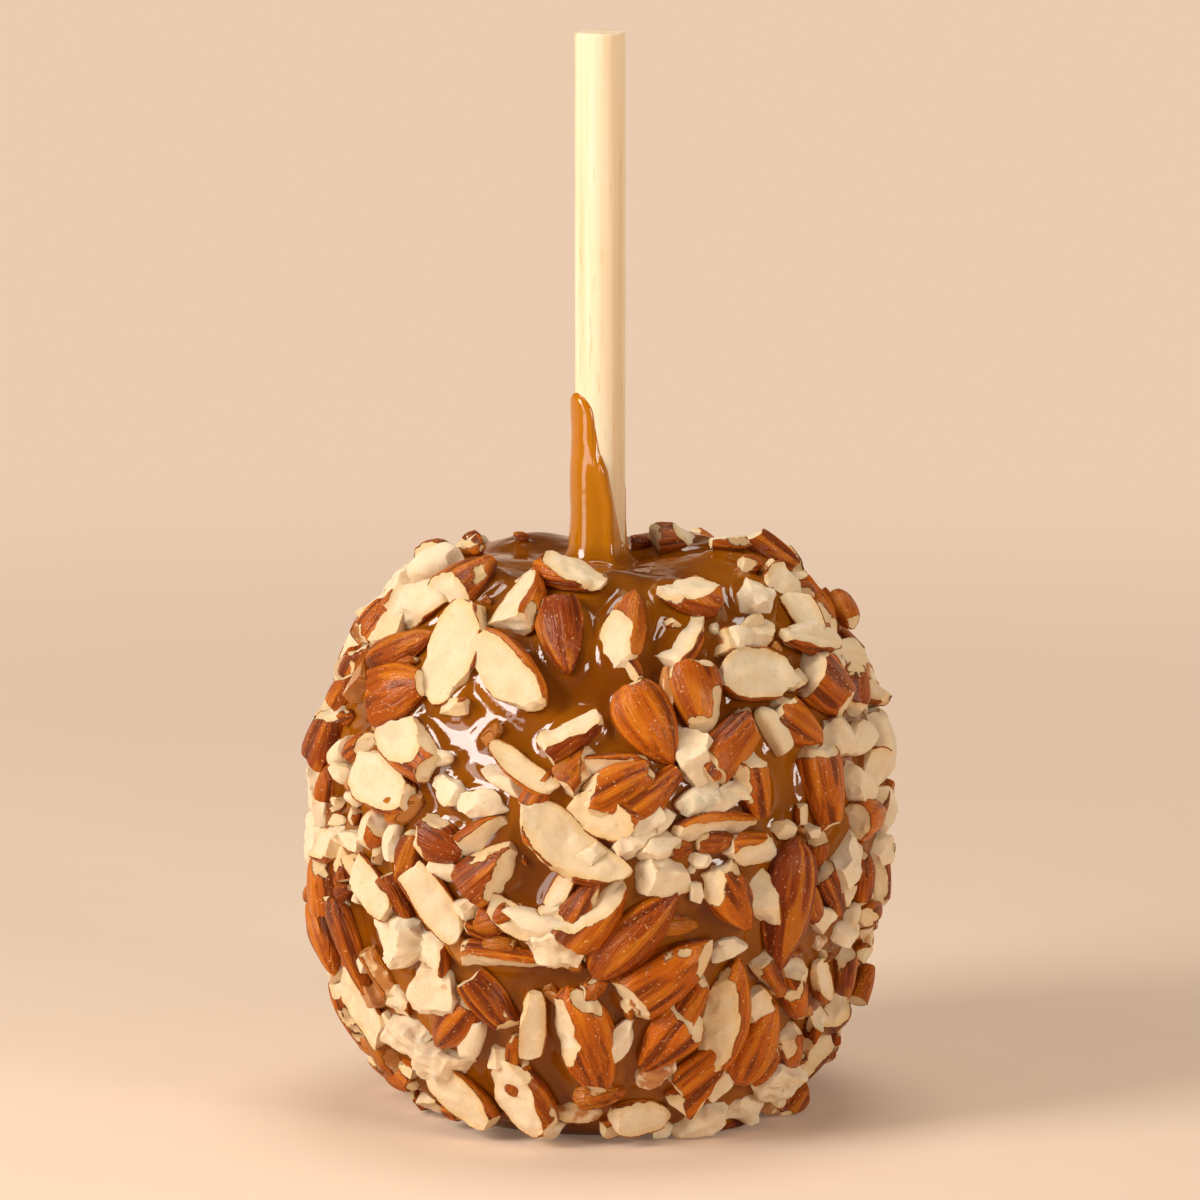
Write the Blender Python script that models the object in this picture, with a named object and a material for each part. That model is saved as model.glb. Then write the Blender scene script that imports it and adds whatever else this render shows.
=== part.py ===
"""Caramel apple on a round wooden stick, rolled in chopped almonds.

The frame is +Z up with the front at -Y. The origin is the middle of the flat
caramel foot, on the stick's axis. Sizes below are in millimetres and become
metres when a mesh is made.

  stick          8 mm birch dowel, pushed 45 mm into the apple
  caramel_apple  the coated apple: one solid, with a blind hole for the stick
                 and a tongue of caramel that has run up one side of it
  almond_01...   the larger pieces of almond, each lying on the caramel
"""

import math

import bmesh
import bpy
import numpy as np
from mathutils import Vector

MM = 0.001

# ---- stick
STICK_R = 4.0
STICK_TOP = 173.0
STICK_IN = 45.0  # length inside the apple
STICK_EASE = 0.4
STICK_SIDES = 32

# ---- coated apple
FOOT_R = 24.0
WIDE_R = 43.5
WIDE_Z = 48.0
CREST_R = 20.0
CREST_Z = 89.5
DIMPLE = 1.3  # how far the top sinks toward the stick
LOW_POWER = 1.65  # fullness of the lower half, 2 is a circle's
HIGH_POWER = 1.8
LOBES = 5  # the soft ribs that an apple has round its top
LOBE_RISE = 0.8
LEAN = 0.9  # the shoulders differ in height by about this

# ---- clearance between pieces that touch or are pushed into each other
GAP = 0.3

# ---- tongue of caramel on the stick: height above the crest's dimple, then its
# left and right edge as angles round the stick from the front, + to the right
TONGUE_WALL = 0.95
TONGUE = (
    (-4.0, -150, 110),
    (1.5, -146, 95),
    (3.6, -140, 55),
    (9.5, -132, 34),
    (15.0, -125, 18),
    (18.0, -120, -2),
    (23.0, -112, -14),
    (26.0, -88, -30),
)
TONGUE_TIP = 27.2

# ---- almonds: the fullest they stand off the caramel, and their cut floor
ALMOND_FLOOR = 0.4  # no almond reaches below this height
ALMOND_FLAT = 0.6  # thickness over width
SIDES, RINGS = 9, 5
BACK_COUNT = 12
SEED = 41

# ---- the front view that the almonds are set out on: from 1.2 m away and
# 280 mm up, on a drawing plane through the stick at this height
EYE = np.array((0.0, -1200.0, 280.0))
AIM = np.array((0.0, 0.0, 82.0))


def unit(v):
    return v / np.linalg.norm(v)


# ------------------------------------------------------------ the apple's form
def profile(low=12, high=12, top=8):
    """(radius, height) from the edge of the foot, up the side, over the crest
    and into the dimple at the stick's axis."""
    points = []
    for i in range(low):
        a = math.pi / 2 * i / low
        u = math.cos(a) ** (2 / LOW_POWER)
        r = FOOT_R + (WIDE_R - FOOT_R) * math.sin(a) ** (2 / LOW_POWER)
        points.append((r, WIDE_Z * (1 - u)))
    for i in range(high):
        a = math.pi / 2 * i / high
        r = CREST_R + (WIDE_R - CREST_R) * math.cos(a) ** (2 / HIGH_POWER)
        z = WIDE_Z + (CREST_Z - WIDE_Z) * math.sin(a) ** (2 / HIGH_POWER)
        points.append((r, z))
    for i in range(top):
        r = CREST_R * (1 - i / top)
        z = CREST_Z - DIMPLE * (0.5 + 0.5 * math.cos(math.pi * r / CREST_R))
        points.append((r, z))
    return points


def swell(theta, z):
    """The side's unevenness, as a factor on the radius. It dies out at the foot."""
    up = np.clip(z / WIDE_Z, 0, 1)
    ribs = 0.008 * np.cos(LOBES * theta + 0.5) * np.clip((z - 30) / 40, 0, 1)
    sides = 0.010 * np.cos(2 * theta - 0.6) + 0.006 * np.cos(3 * theta + 1.1)
    return 1 + up * (ribs + sides)


def rise(theta, r, z):
    """The top's unevenness, as a shift in height."""
    over = np.clip((z - 60) / 25, 0, 1)
    away = np.clip(r / CREST_R, 0, 1) ** 2
    ribs = LOBE_RISE * np.cos(LOBES * theta + 1.9)
    return over * away * (ribs + LEAN * np.cos(theta - 0.4) * 0.5)


def body_point(r, z, theta):
    k = r * swell(theta, z)
    return (k * math.cos(theta), k * math.sin(theta), z + rise(theta, r, z))


FINE = np.array(profile(40, 40, 24) + [(0.0, CREST_Z - DIMPLE)])


def height_over(p):
    """Distance of a point from the caramel, + outside."""
    rho, theta = math.hypot(p[0], p[1]), math.atan2(p[1], p[0])
    z = p[2] - float(rise(theta, rho, p[2]))
    q = np.array((rho / float(swell(theta, z)), z))
    a, b = FINE[:-1], FINE[1:]
    d = b - a
    t = np.clip(((q - a) * d).sum(1) / (d * d).sum(1), 0, 1)
    off = q - (a + d * t[:, None])
    i = int(np.argmin((off * off).sum(1)))
    out = np.array((d[i][1], -d[i][0]))
    return math.copysign(float(np.linalg.norm(off[i])), float(out @ off[i]) or 1.0)


def outward(p, e=0.4):
    g = [height_over(p + e * k) - height_over(p - e * k) for k in np.eye(3)]
    return unit(np.array(g))


# ------------------------------------------------------------ setting out
def view_axes():
    ahead = unit(AIM - EYE)
    right = np.array((1.0, 0.0, 0.0))
    return ahead, right, np.cross(right, ahead)


def seat(u, v, lift):
    """The point at height `lift` over the caramel that shows at (u, v) on the
    drawing plane, or the nearest point to the caramel on that line of sight."""
    ahead, right, up = view_axes()
    way = unit(AIM + u * right + v * up - EYE)
    start = np.linalg.norm(AIM - EYE) - 70
    best, at = 1e9, None
    for i in range(90):
        p = EYE + way * (start + i)
        h = height_over(p)
        if h < best - 1e-6:
            best, at = h, p
        if h <= lift:
            lo, hi = start + i - 1, start + i
            for _ in range(12):
                mid = (lo + hi) / 2
                lo, hi = (lo, mid) if height_over(EYE + way * mid) <= lift else (mid, hi)
            return EYE + way * hi
    return at


def laid_axes(p, angle):
    """Axes of a piece at p: x along its length, which shows at `angle` in the
    front view, and z away from the caramel."""
    ahead, right, up = view_axes()
    z = outward(p)
    a = math.radians(angle)
    shown = math.cos(a) * right + math.sin(a) * up
    facing = min(float(ahead @ z), -0.45)
    x = shown - (shown @ z) / facing * ahead
    x = unit(x - (x @ z) * z)
    return x, np.cross(z, x), z


# ------------------------------------------------------------ one almond
def width_at(s):
    """Outline of an almond: 0 at the blunt end, 1 at the tip, fullest 1."""
    return 2.377 * s**0.5 * (1 - s) ** 0.8 / 1.046


def almond(length, width, thick, missing):
    """Closed mesh of an almond lying along x, tip at +x, with its length scaled
    so that `length` is left once the shares missing[0] and missing[1] of its
    blunt end and tip are cut away."""
    start, end = missing[0], 1 - missing[1]
    whole = length / (end - start)
    inside = np.linspace(start, end, 21)
    full = max(width_at(s) for s in inside)
    bm = bmesh.new()
    rings = []
    for k in range(RINGS):
        s = 0.5 - 0.5 * math.cos(math.pi * (k + 0.75) / (RINGS + 0.5))
        w, ring = width_at(s) / full, []
        for j in range(SIDES):
            a = 2 * math.pi * (j + 0.5) / SIDES
            ring.append(
                bm.verts.new(
                    (
                        (s - (start + end) / 2) * whole,
                        width / 2 * w * math.cos(a),
                        thick / 2 * w**0.8 * math.sin(a),
                    )
                )
            )
        rings.append(ring)
    blunt = bm.verts.new((-(start + end) / 2 * whole, 0, 0))
    tip = bm.verts.new(((1 - (start + end) / 2) * whole, 0, 0))
    for j in range(SIDES):
        k = (j + 1) % SIDES
        bm.faces.new((blunt, rings[0][k], rings[0][j]))
        bm.faces.new((tip, rings[-1][j], rings[-1][k]))
        for a, b in zip(rings[:-1], rings[1:]):
            bm.faces.new((a[j], a[k], b[k], b[j]))
    bmesh.ops.recalc_face_normals(bm, faces=bm.faces)
    cut(bm, (-length / 2, 0, 0), (-1, 0, 0))
    cut(bm, (length / 2, 0, 0), (1, 0, 0))
    return bm


def cut(bm, point, normal):
    """Cuts away what lies beyond a plane, and closes the cut with a flat face."""
    bmesh.ops.bisect_plane(
        bm,
        geom=bm.verts[:] + bm.edges[:] + bm.faces[:],
        dist=1e-5,
        plane_co=Vector(point),
        plane_no=Vector(normal),
        clear_outer=True,
    )
    bmesh.ops.holes_fill(bm, edges=[e for e in bm.edges if e.is_boundary], sides=0)


def cleaned(bm):
    """The convex hull of the piece's corners, with close corners made one."""
    bmesh.ops.remove_doubles(bm, verts=bm.verts, dist=0.08)
    corners = [v.co.copy() for v in bm.verts]
    out = bmesh.new()
    for c in corners:
        out.verts.new(c)
    made = bmesh.ops.convex_hull(out, input=out.verts)
    inner = {g for g in made["geom_interior"] if isinstance(g, bmesh.types.BMVert)}
    inner |= {v for v in out.verts if not v.link_faces}
    bmesh.ops.delete(out, geom=list(inner), context="VERTS")
    bm.free()
    return out


def corners_of(bm):
    return np.array([v.co[:] for v in bm.verts])


def caramel_under(p, z, reach):
    """How high the caramel comes, along z from p, under a piece this long."""
    up = 0.0
    side = unit(np.cross(z, (0.3, 0.5, 0.8)))
    for k in range(12):
        a = 2 * math.pi * k / 12
        around = math.cos(a) * side + math.sin(a) * np.cross(z, side)
        for share in (0.0, 0.5, 1.0):
            q = p + around * reach * share
            lo, hi = -9.0, 9.0
            for _ in range(14):
                mid = (lo + hi) / 2
                lo, hi = (mid, hi) if height_over(q + z * mid) < 0 else (lo, mid)
            up = max(up, lo) if share or k else lo
    return up


# ------------------------------------------------------------ the almonds' plan
# One row a piece on the front: u and v of its middle on the drawing plane,
# length, width, the angle its tip points at, how high its middle is over the
# caramel, the shares of the parent almond missing at the blunt end and at the
# tip, S for a piece that shows skin or F for one that shows its pale flesh,
# and its broken faces: the way each faces in the view, how far it is turned
# toward the eye, and how far out from the middle it lies (1 is the surface).
FRONT = (
    (-21.6, 2.7, 12.6, 9.2, 40, 1.6, 0.25, 0.05, "S", ((-100, 35, 0.45),)),
    (-31.7, -7.7, 14.1, 5.8, 25, 1.9, 0.0, 0.0, "S", ()),
    (-23.6, -7.6, 18.4, 11.0, 66, 2.1, 0.03, 0.0, "F", ((-115, 78, 0.1),)),
    (-15.2, -11.5, 19.2, 9.3, -45, 2.8, 0.0, 0.0, "F", ((-135, 65, 0.15),)),
    (-33.0, -15.0, 12.8, 11.0, 20, 1.4, 0.2, 0.15, "S", ((180, 30, 0.6),)),
    (-42.9, -20.8, 10.4, 9.4, 60, 1.6, 0.3, 0.2, "S", ((80, 45, 0.55),)),
    (-6.1, -5.6, 14.4, 8.0, -80, 1.0, 0.12, 0.0, "S", ((95, 25, 0.8),)),
    (4.0, -4.5, 14.1, 7.4, 75, 1.4, 0.1, 0.0, "S", ((200, 50, 0.45), (-90, 20, 0.8))),
    (13.3, -6.4, 10.9, 6.7, 50, 1.4, 0.2, 0.1, "S", ((140, 55, 0.15),)),
    (8.0, -20.0, 14.1, 9.6, -60, 1.2, 0.05, 0.0, "S", ()),
    (13.6, 10.1, 10.9, 6.4, 10, 1.6, 0.3, 0.1, "S", ((90, 30, 0.4),)),
    (33.6, -6.1, 14.4, 4.8, -15, 3.4, 0.0, 0.0, "F", ((80, 60, 0.1),)),
    (25.9, -12.0, 15.7, 9.0, -3, 2.8, 0.03, 0.0, "F", ((90, 84, 0.1),)),
    (36.8, -14.4, 12.0, 9.9, -40, 1.8, 0.25, 0.1, "S", ((-40, 30, 0.6),)),
    (-31.2, -22.7, 13.6, 8.3, -45, 2.8, 0.15, 0.2, "F", ((120, 70, 0.2),)),
    (-35.2, -29.1, 15.2, 9.3, -35, 2.6, 0.1, 0.05, "F", ((110, 78, 0.1),)),
    (-36.8, -46.1, 11.5, 6.7, -50, 2.7, 0.2, 0.1, "F", ((60, 70, 0.2),)),
    (-26.9, -48.0, 15.2, 6.7, -55, 2.8, 0.1, 0.1, "F", ((30, 74, 0.2),)),
    (-17.3, -42.9, 10.6, 8.3, 40, 1.7, 0.3, 0.1, "S", ((-20, 30, 0.65),)),
    (-11.7, -27.2, 16.8, 4.2, -38, 2.6, 0.0, 0.0, "F", ((60, 55, 0.1),)),
    (-4.8, -38.6, 23.0, 8.8, -38, 2.9, 0.0, 0.0, "F", ((52, 62, 0.1),)),
    (0.5, -34.4, 12.2, 7.7, -15, 2.4, 0.05, 0.1, "F", ((-150, 66, 0.15),)),
    (7.7, -31.5, 11.5, 6.7, 35, 1.6, 0.1, 0.0, "S", ()),
    (19.0, -36.5, 14.7, 6.7, 12, 1.8, 0.1, 0.0, "S", ((-85, 45, 0.2),)),
    (-1.0, -49.6, 13.4, 9.0, 50, 1.8, 0.2, 0.1, "S", ((110, 40, 0.3),)),
    (-13.9, -50.9, 12.0, 5.1, -35, 2.5, 0.0, 0.0, "F", ((50, 60, 0.1),)),
    (5.7, -53.4, 19.0, 8.4, 45, 1.3, 0.0, 0.0, "S", ()),
    (21.1, -48.0, 12.8, 7.7, -60, 1.5, 0.2, 0.0, "S", ((180, 30, 0.65),)),
    (21.6, -22.1, 14.4, 7.7, 50, 1.5, 0.2, 0.1, "S", ((20, 30, 0.6),)),
    (35.7, -29.8, 13.6, 8.0, -80, 1.8, 0.2, 0.15, "S", ((100, 30, 0.75),)),
    (29.8, -49.0, 21.5, 9.4, -98, 1.7, 0.0, 0.0, "S", ()),
    (-39.7, -55.5, 17.6, 5.1, -70, 1.9, 0.0, 0.0, "S", ()),
    (-23.2, -68.0, 12.5, 7.2, -130, 1.6, 0.05, 0.0, "S", ()),
    (-16.8, -65.1, 12.0, 6.4, -50, 1.7, 0.2, 0.1, "S", ((-60, 30, 0.6),)),
    (-15.0, -57.3, 14.4, 5.4, -5, 1.7, 0.2, 0.1, "S", ((-90, 40, 0.3),)),
    (-22.7, -79.4, 16.8, 8.3, -35, 2.7, 0.05, 0.0, "F", ((80, 76, 0.1),)),
    (-12.5, -80.0, 15.6, 10.2, -50, 2.8, 0.05, 0.0, "F", ((180, 62, 0.15),)),
    (-10.9, -68.5, 13.1, 4.5, 85, 2.7, 0.1, 0.1, "F", ((0, 66, 0.2),)),
    (-2.2, -70.9, 21.0, 10.0, -72, 1.5, 0.0, 0.0, "S", ((185, 35, 0.6),)),
    (11.2, -59.5, 17.9, 9.9, 35, 1.6, 0.15, 0.0, "S", ((-145, 25, 0.75),)),
    (10.4, -70.4, 13.6, 8.8, -132, 1.6, 0.2, 0.0, "S", ((40, 25, 0.7),)),
    (19.8, -65.9, 19.2, 9.6, 75, 1.7, 0.05, 0.0, "S", ((170, 45, 0.35),)),
    (24.8, -70.9, 14.7, 8.3, 65, 1.6, 0.0, 0.0, "S", ()),
    (44.6, -14.4, 9.0, 5.6, 5, 2.6, 0.1, 0.0, "F", ((90, 60, 0.2),)),
    (42.9, -34.4, 10.4, 6.7, 20, 1.9, 0.2, 0.0, "S", ()),
    (-44.0, -54.4, 12.8, 5.0, -65, 1.9, 0.1, 0.0, "S", ()),
)


def plan_back(rng):
    """Rows for the sides and the back: (seat point, axes, sizes, broken face).
    They keep their distance from each other and stay off the front."""
    rows, places = [], []
    while len(rows) < BACK_COUNT:
        bearing = rng.uniform(0.02, 0.98) * math.pi  # counted from +X over +Y
        height = rng.uniform(8.0, 71.0)
        turn = rng.uniform(0, 360)
        size = rng.uniform(12.5, 19.0)
        slim = rng.uniform(0.42, 0.56)
        short = rng.uniform(0.0, 0.25)
        pale = rng.uniform() < 0.4
        side, tip = rng.uniform(0, 360), rng.uniform(30, 60)
        way = np.array((math.cos(bearing), math.sin(bearing), 0.0))
        lo, hi = 5.0, 60.0
        for _ in range(30):
            mid = (lo + hi) / 2
            inside = height_over(way * mid + (0, 0, height)) < (2.5 if pale else 1.5)
            lo, hi = (mid, hi) if inside else (lo, mid)
        p = way * lo + np.array((0.0, 0.0, height))
        if any(np.linalg.norm(p - q) < 17.0 for q in places):
            continue
        places.append(p)
        z = outward(p)
        level = unit(np.cross((0, 0, 1), z))
        t = math.radians(turn)
        x = math.cos(t) * level + math.sin(t) * np.cross(z, level)
        s = math.radians(side)
        lean = math.radians(75 if pale else tip)
        face = math.cos(lean) * (
            math.cos(s) * x + math.sin(s) * np.cross(z, x)
        ) + math.sin(lean) * z
        rows.append((p, (x, np.cross(z, x), z), size, slim * size, short, pale, face))
    return rows


def placed(bm, p, axes):
    """Moves a piece from its own axes to its seat."""
    m = np.array(axes).T
    for v in bm.verts:
        v.co = Vector(p + m @ np.array(v.co[:]))


def broken(bm, p, normal, share):
    """Breaks a piece along a plane, `share` of the way from p to its surface."""
    reach = float(((corners_of(bm) - p) @ normal).max())
    cut(bm, p + normal * reach * share, normal)


def make_almonds():
    """(mesh, shows flesh) of each almond, in millimetres, clear of the caramel,
    of the floor and of each other."""
    ahead, right, up = view_axes()
    made = []
    for u, v, length, width, angle, lift, blunt, tip, look, faces in FRONT:
        p = seat(u, v, lift)
        axes = laid_axes(p, angle)
        bm = almond(length, width, ALMOND_FLAT * width + 1.6, (blunt, tip))
        placed(bm, p, axes)
        for way, turned, share in faces:
            a, e = math.radians(way), math.radians(turned)
            z = axes[2]
            shown = math.cos(a) * right + math.sin(a) * up
            flat = unit(shown - (shown @ z) * z)
            broken(bm, p, math.cos(e) * flat + math.sin(e) * z, share)
        made.append((bm, p, axes[2], length, look == "F"))
    rng = np.random.default_rng(SEED)
    for p, axes, length, width, short, pale, face in plan_back(rng):
        bm = almond(length, width, ALMOND_FLAT * width + 1.6, (short, 0.0))
        placed(bm, p, axes)
        broken(bm, p, face, 0.15 if pale else 0.6)
        made.append((bm, p, axes[2], length, pale))
    for bm, p, z, length, pale in made:
        under = caramel_under(p, z, 0.42 * length)
        cut(bm, p + z * (under + GAP), -z)
        cut(bm, (0, 0, ALMOND_FLOOR), (0, 0, -1))
        clear_of_stick(bm)
    made = [(cleaned(bm), p, pale) for bm, p, z, length, pale in made]
    return [(bm, pale) for bm, pale in kept_apart(made)]


def clear_of_stick(bm):
    """Trims a piece that would reach the stick or the tongue on it."""
    c = corners_of(bm)
    near = float(np.hypot(c[:, 0], c[:, 1]).min())
    room = STICK_R + TONGUE_WALL + 2 * GAP
    if near < room and c[:, 2].max() > CREST_Z - 3:
        middle = c.mean(0) * (1, 1, 0)
        way = unit(middle)
        cut(bm, way * room, -way)


def parting(a, b):
    """The direction from a to b that parts two convex pieces best, and how far
    they overlap along it."""
    pa, pb = corners_of(a), corners_of(b)
    ways = [np.array(f.normal[:]) for f in a.faces]
    ways += [-np.array(f.normal[:]) for f in b.faces]
    ways.append(unit(pb.mean(0) - pa.mean(0)))
    ways = np.array(ways)
    over = (pa @ ways.T).max(0) - (pb @ ways.T).min(0)
    i = int(np.argmin(over))
    middle = ((pa @ ways[i]).max() + (pb @ ways[i]).min()) / 2
    return ways[i], float(over[i]), float(middle)


def kept_apart(made):
    pieces = [m[0] for m in made]
    for _ in range(3):
        for i in range(len(pieces)):
            for j in range(i + 1, len(pieces)):
                apart = np.linalg.norm(made[i][1] - made[j][1])
                if apart > 24:
                    continue
                for bm in (pieces[i], pieces[j]):
                    bmesh.ops.recalc_face_normals(bm, faces=bm.faces)
                way, over, middle = parting(pieces[i], pieces[j])
                if over < -GAP:
                    continue
                half = GAP / 2 + 0.02
                cut(pieces[i], way * (middle - half), way)
                cut(pieces[j], way * (middle + half), -way)
                pieces[i], pieces[j] = cleaned(pieces[i]), cleaned(pieces[j])
    return [(bm, m[2]) for bm, m in zip(pieces, made)]


# ------------------------------------------------------------ objects
def material(name, colour, rough, coat=0.0, under=0.0):
    made = bpy.data.materials.new(name)
    made.use_nodes = True
    shader = made.node_tree.nodes["Principled BSDF"]
    shader.inputs["Base Color"].default_value = (*colour, 1)
    shader.inputs["Roughness"].default_value = rough
    shader.inputs["Metallic"].default_value = 0.0
    shader.inputs["Coat Weight"].default_value = coat
    shader.inputs["Subsurface Weight"].default_value = under
    return made


def shown(name, bm, look, flat=25):
    """A finished object from a mesh in millimetres. Its origin moves to its own
    middle, and the object is set back at that place."""
    bmesh.ops.recalc_face_normals(bm, faces=bm.faces)
    middle = Vector(corners_of(bm).mean(0))
    for v in bm.verts:
        v.co = (v.co - middle) * MM
    mesh = bpy.data.meshes.new(name)
    bm.to_mesh(mesh)
    bm.free()
    mesh.shade_smooth()
    mesh.set_sharp_from_angle(angle=math.radians(flat))
    obj = bpy.data.objects.new(name, mesh)
    obj.location = middle * MM
    bpy.context.collection.objects.link(obj)
    if look:
        mesh.materials.append(look)
    return obj


def helper(obj):
    obj.hide_render = True
    obj.display_type = "WIRE"
    return obj


def round_bar(radius, low, high, sides):
    bm = bmesh.new()
    bmesh.ops.create_cone(
        bm, cap_ends=True, segments=sides, radius1=radius, radius2=radius, depth=high - low
    )
    bmesh.ops.translate(bm, verts=bm.verts, vec=(0, 0, (low + high) / 2))
    return bm


def apple_mesh(around=48):
    bm = bmesh.new()
    rings = []
    for r, z in profile(10, 10, 6):
        ring = []
        for j in range(around):
            theta = 2 * math.pi * j / around
            ring.append(bm.verts.new(body_point(r, z, theta)))
        rings.append(ring)
    top = bm.verts.new((0, 0, CREST_Z - DIMPLE))
    for a, b in zip(rings[:-1], rings[1:]):
        for j in range(around):
            k = (j + 1) % around
            bm.faces.new((a[j], a[k], b[k], b[j]))
    for j in range(around):
        bm.faces.new((rings[-1][j], rings[-1][(j + 1) % around], top))
    bm.faces.new(list(reversed(rings[0])))
    return bm


def tongue_mesh(across=9, inner=3.2):
    """The run of caramel up the stick, as a loft of crescent sections from
    inside the apple to a rounded tip."""
    base = CREST_Z - DIMPLE
    heights = [base + h for h, _, _ in TONGUE]
    left = [a for _, a, _ in TONGUE]
    right = [b for _, _, b in TONGUE]
    bm = bmesh.new()
    rings = []
    steps = 15
    for i in range(steps + 1):
        z = heights[0] + (heights[-1] - heights[0]) * i / steps
        a = math.radians(np.interp(z, heights, left))
        b = math.radians(np.interp(z, heights, right))
        tall = (z - base) / TONGUE_TIP
        wall = TONGUE_WALL * (1.25 - 0.35 * max(tall, 0))
        outer, back = [], []
        for j in range(across + 1):
            t = j / across
            phi = a + (b - a) * t
            r = STICK_R + GAP + 0.12 + (wall - 0.12) * math.sin(math.pi * t) ** 0.6
            outer.append(bm.verts.new((r * math.sin(phi), -r * math.cos(phi), z)))
            back.append(
                bm.verts.new((inner * math.sin(phi), -inner * math.cos(phi), z))
            )
        rings.append(outer + back[::-1])
    count = len(rings[0])
    for low, high in zip(rings[:-1], rings[1:]):
        for j in range(count):
            k = (j + 1) % count
            bm.faces.new((low[j], low[k], high[k], high[j]))
    bm.faces.new(rings[0][::-1])
    a, b = math.radians(left[-1]), math.radians(right[-1])
    phi, r = (a + b) / 2, STICK_R + 0.2
    tip = bm.verts.new((r * math.sin(phi), -r * math.cos(phi), base + TONGUE_TIP))
    for j in range(count):
        bm.faces.new((rings[-1][j], rings[-1][(j + 1) % count], tip))
    bmesh.ops.triangulate(bm, faces=bm.faces)
    bmesh.ops.recalc_face_normals(bm, faces=bm.faces)
    return bm


def build():
    for obj in list(bpy.data.objects):
        bpy.data.objects.remove(obj, do_unlink=True)

    caramel = material("caramel", (0.33, 0.105, 0.014), 0.16, coat=0.6, under=0.1)
    birch = material("birch_wood", (0.85, 0.62, 0.36), 0.55)
    skin = material("almond_skin", (0.36, 0.085, 0.018), 0.5)
    flesh = material("almond_flesh", (0.84, 0.66, 0.40), 0.5, under=0.1)

    base = CREST_Z - DIMPLE
    stick = shown(
        "stick", round_bar(STICK_R, base - STICK_IN, STICK_TOP, STICK_SIDES), birch, 40
    )
    ease = stick.modifiers.new("eased ends", "BEVEL")
    ease.width = STICK_EASE * MM
    ease.segments = 2
    ease.limit_method = "ANGLE"
    ease.angle_limit = math.radians(60)

    apple = shown("caramel_apple", apple_mesh(), caramel, 50)
    tongue = helper(shown("tongue", tongue_mesh(), None))
    hole = helper(
        shown(
            "stick_hole",
            round_bar(STICK_R + GAP, base - STICK_IN - GAP, base + 40, STICK_SIDES),
            None,
        )
    )
    for name, kind, other in (
        ("tongue on the stick", "UNION", tongue),
        ("blind hole for the stick", "DIFFERENCE", hole),
    ):
        step = apple.modifiers.new(name, "BOOLEAN")
        step.operation = kind
        step.solver = "EXACT"
        step.object = other

    for i, (bm, pale) in enumerate(make_almonds()):
        shown(f"almond_{i + 1:02d}", bm, flesh if pale else skin, 20)


build()
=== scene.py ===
import math
import time

import bpy
import numpy as np
from mathutils import Matrix, Vector


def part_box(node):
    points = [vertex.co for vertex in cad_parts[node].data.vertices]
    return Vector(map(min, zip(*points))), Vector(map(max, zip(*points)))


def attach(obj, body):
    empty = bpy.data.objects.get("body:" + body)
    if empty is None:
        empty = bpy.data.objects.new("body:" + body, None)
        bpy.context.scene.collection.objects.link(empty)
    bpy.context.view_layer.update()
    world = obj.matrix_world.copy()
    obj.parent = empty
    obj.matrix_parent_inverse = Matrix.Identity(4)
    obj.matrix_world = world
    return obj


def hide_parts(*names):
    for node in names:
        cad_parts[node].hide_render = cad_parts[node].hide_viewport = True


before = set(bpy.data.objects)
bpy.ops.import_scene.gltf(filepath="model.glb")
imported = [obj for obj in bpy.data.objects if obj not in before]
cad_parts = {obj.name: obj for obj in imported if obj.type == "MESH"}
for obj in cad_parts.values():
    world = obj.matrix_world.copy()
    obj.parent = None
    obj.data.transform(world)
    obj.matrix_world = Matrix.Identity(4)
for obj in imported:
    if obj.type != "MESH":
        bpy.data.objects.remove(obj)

T0 = time.time()
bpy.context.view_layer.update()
MM = 0.001

# ------------------------------------------------------------------ named sizes
# Millimetres, the same figures as the CAD; the ones that the frame can give
# are read from it.
_lo, _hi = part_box("stick")
STICK_R = (_hi.x - _lo.x) / 2 / MM
STICK_TOP, STICK_LOW = _hi.z / MM, _lo.z / MM
FOOT_R, WIDE_R, WIDE_Z = 24.0, 43.5, 48.0
CREST_R, CREST_Z, DIMPLE = 20.0, 89.5, 1.3
LOW_POWER, HIGH_POWER = 1.65, 1.8
LOBES, LOBE_RISE, LEAN = 5, 0.8, 0.9
ALMOND_FLAT, ALMOND_FLOOR = 0.6, 0.4
BACK_COUNT, SEED = 12, 41
REACH, REACH_BACK = 47.6, 46.4
TONGUE = (
    (-4.0, -150, 110),
    (1.5, -146, 95),
    (3.6, -140, 55),
    (9.5, -132, 34),
    (15.0, -125, 18),
    (18.0, -120, -2),
    (23.0, -112, -14),
    (26.0, -88, -30),
)
TONGUE_TIP = 27.2
EYE = np.array((0.0, -1200.0, 280.0))
AIM = np.array((0.0, 0.0, 82.0))


def unit(v):
    return v / np.linalg.norm(v)


# ------------------------------------------------------------------ noise
_rng = np.random.default_rng(11)
_TABLE = _rng.uniform(-1, 1, (64, 64, 64)).astype(np.float32)


def noise(p, scale, seed=0):
    """Smooth value noise in -1..1 over points p (n, 3), one feature per `scale`."""
    q = np.asarray(p, np.float32) / scale + np.float32(seed * 7.31)
    i = np.floor(q).astype(np.int64)
    f = q - i
    f = f * f * (3 - 2 * f)
    i &= 63
    j = (i + 1) & 63
    x0, y0, z0 = i.T
    x1, y1, z1 = j.T
    fx, fy, fz = f.T
    t = _TABLE
    a = t[x0, y0, z0] * (1 - fx) + t[x1, y0, z0] * fx
    b = t[x0, y1, z0] * (1 - fx) + t[x1, y1, z0] * fx
    c = t[x0, y0, z1] * (1 - fx) + t[x1, y0, z1] * fx
    d = t[x0, y1, z1] * (1 - fx) + t[x1, y1, z1] * fx
    return (a * (1 - fy) + b * fy) * (1 - fz) + (c * (1 - fy) + d * fy) * fz


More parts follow.
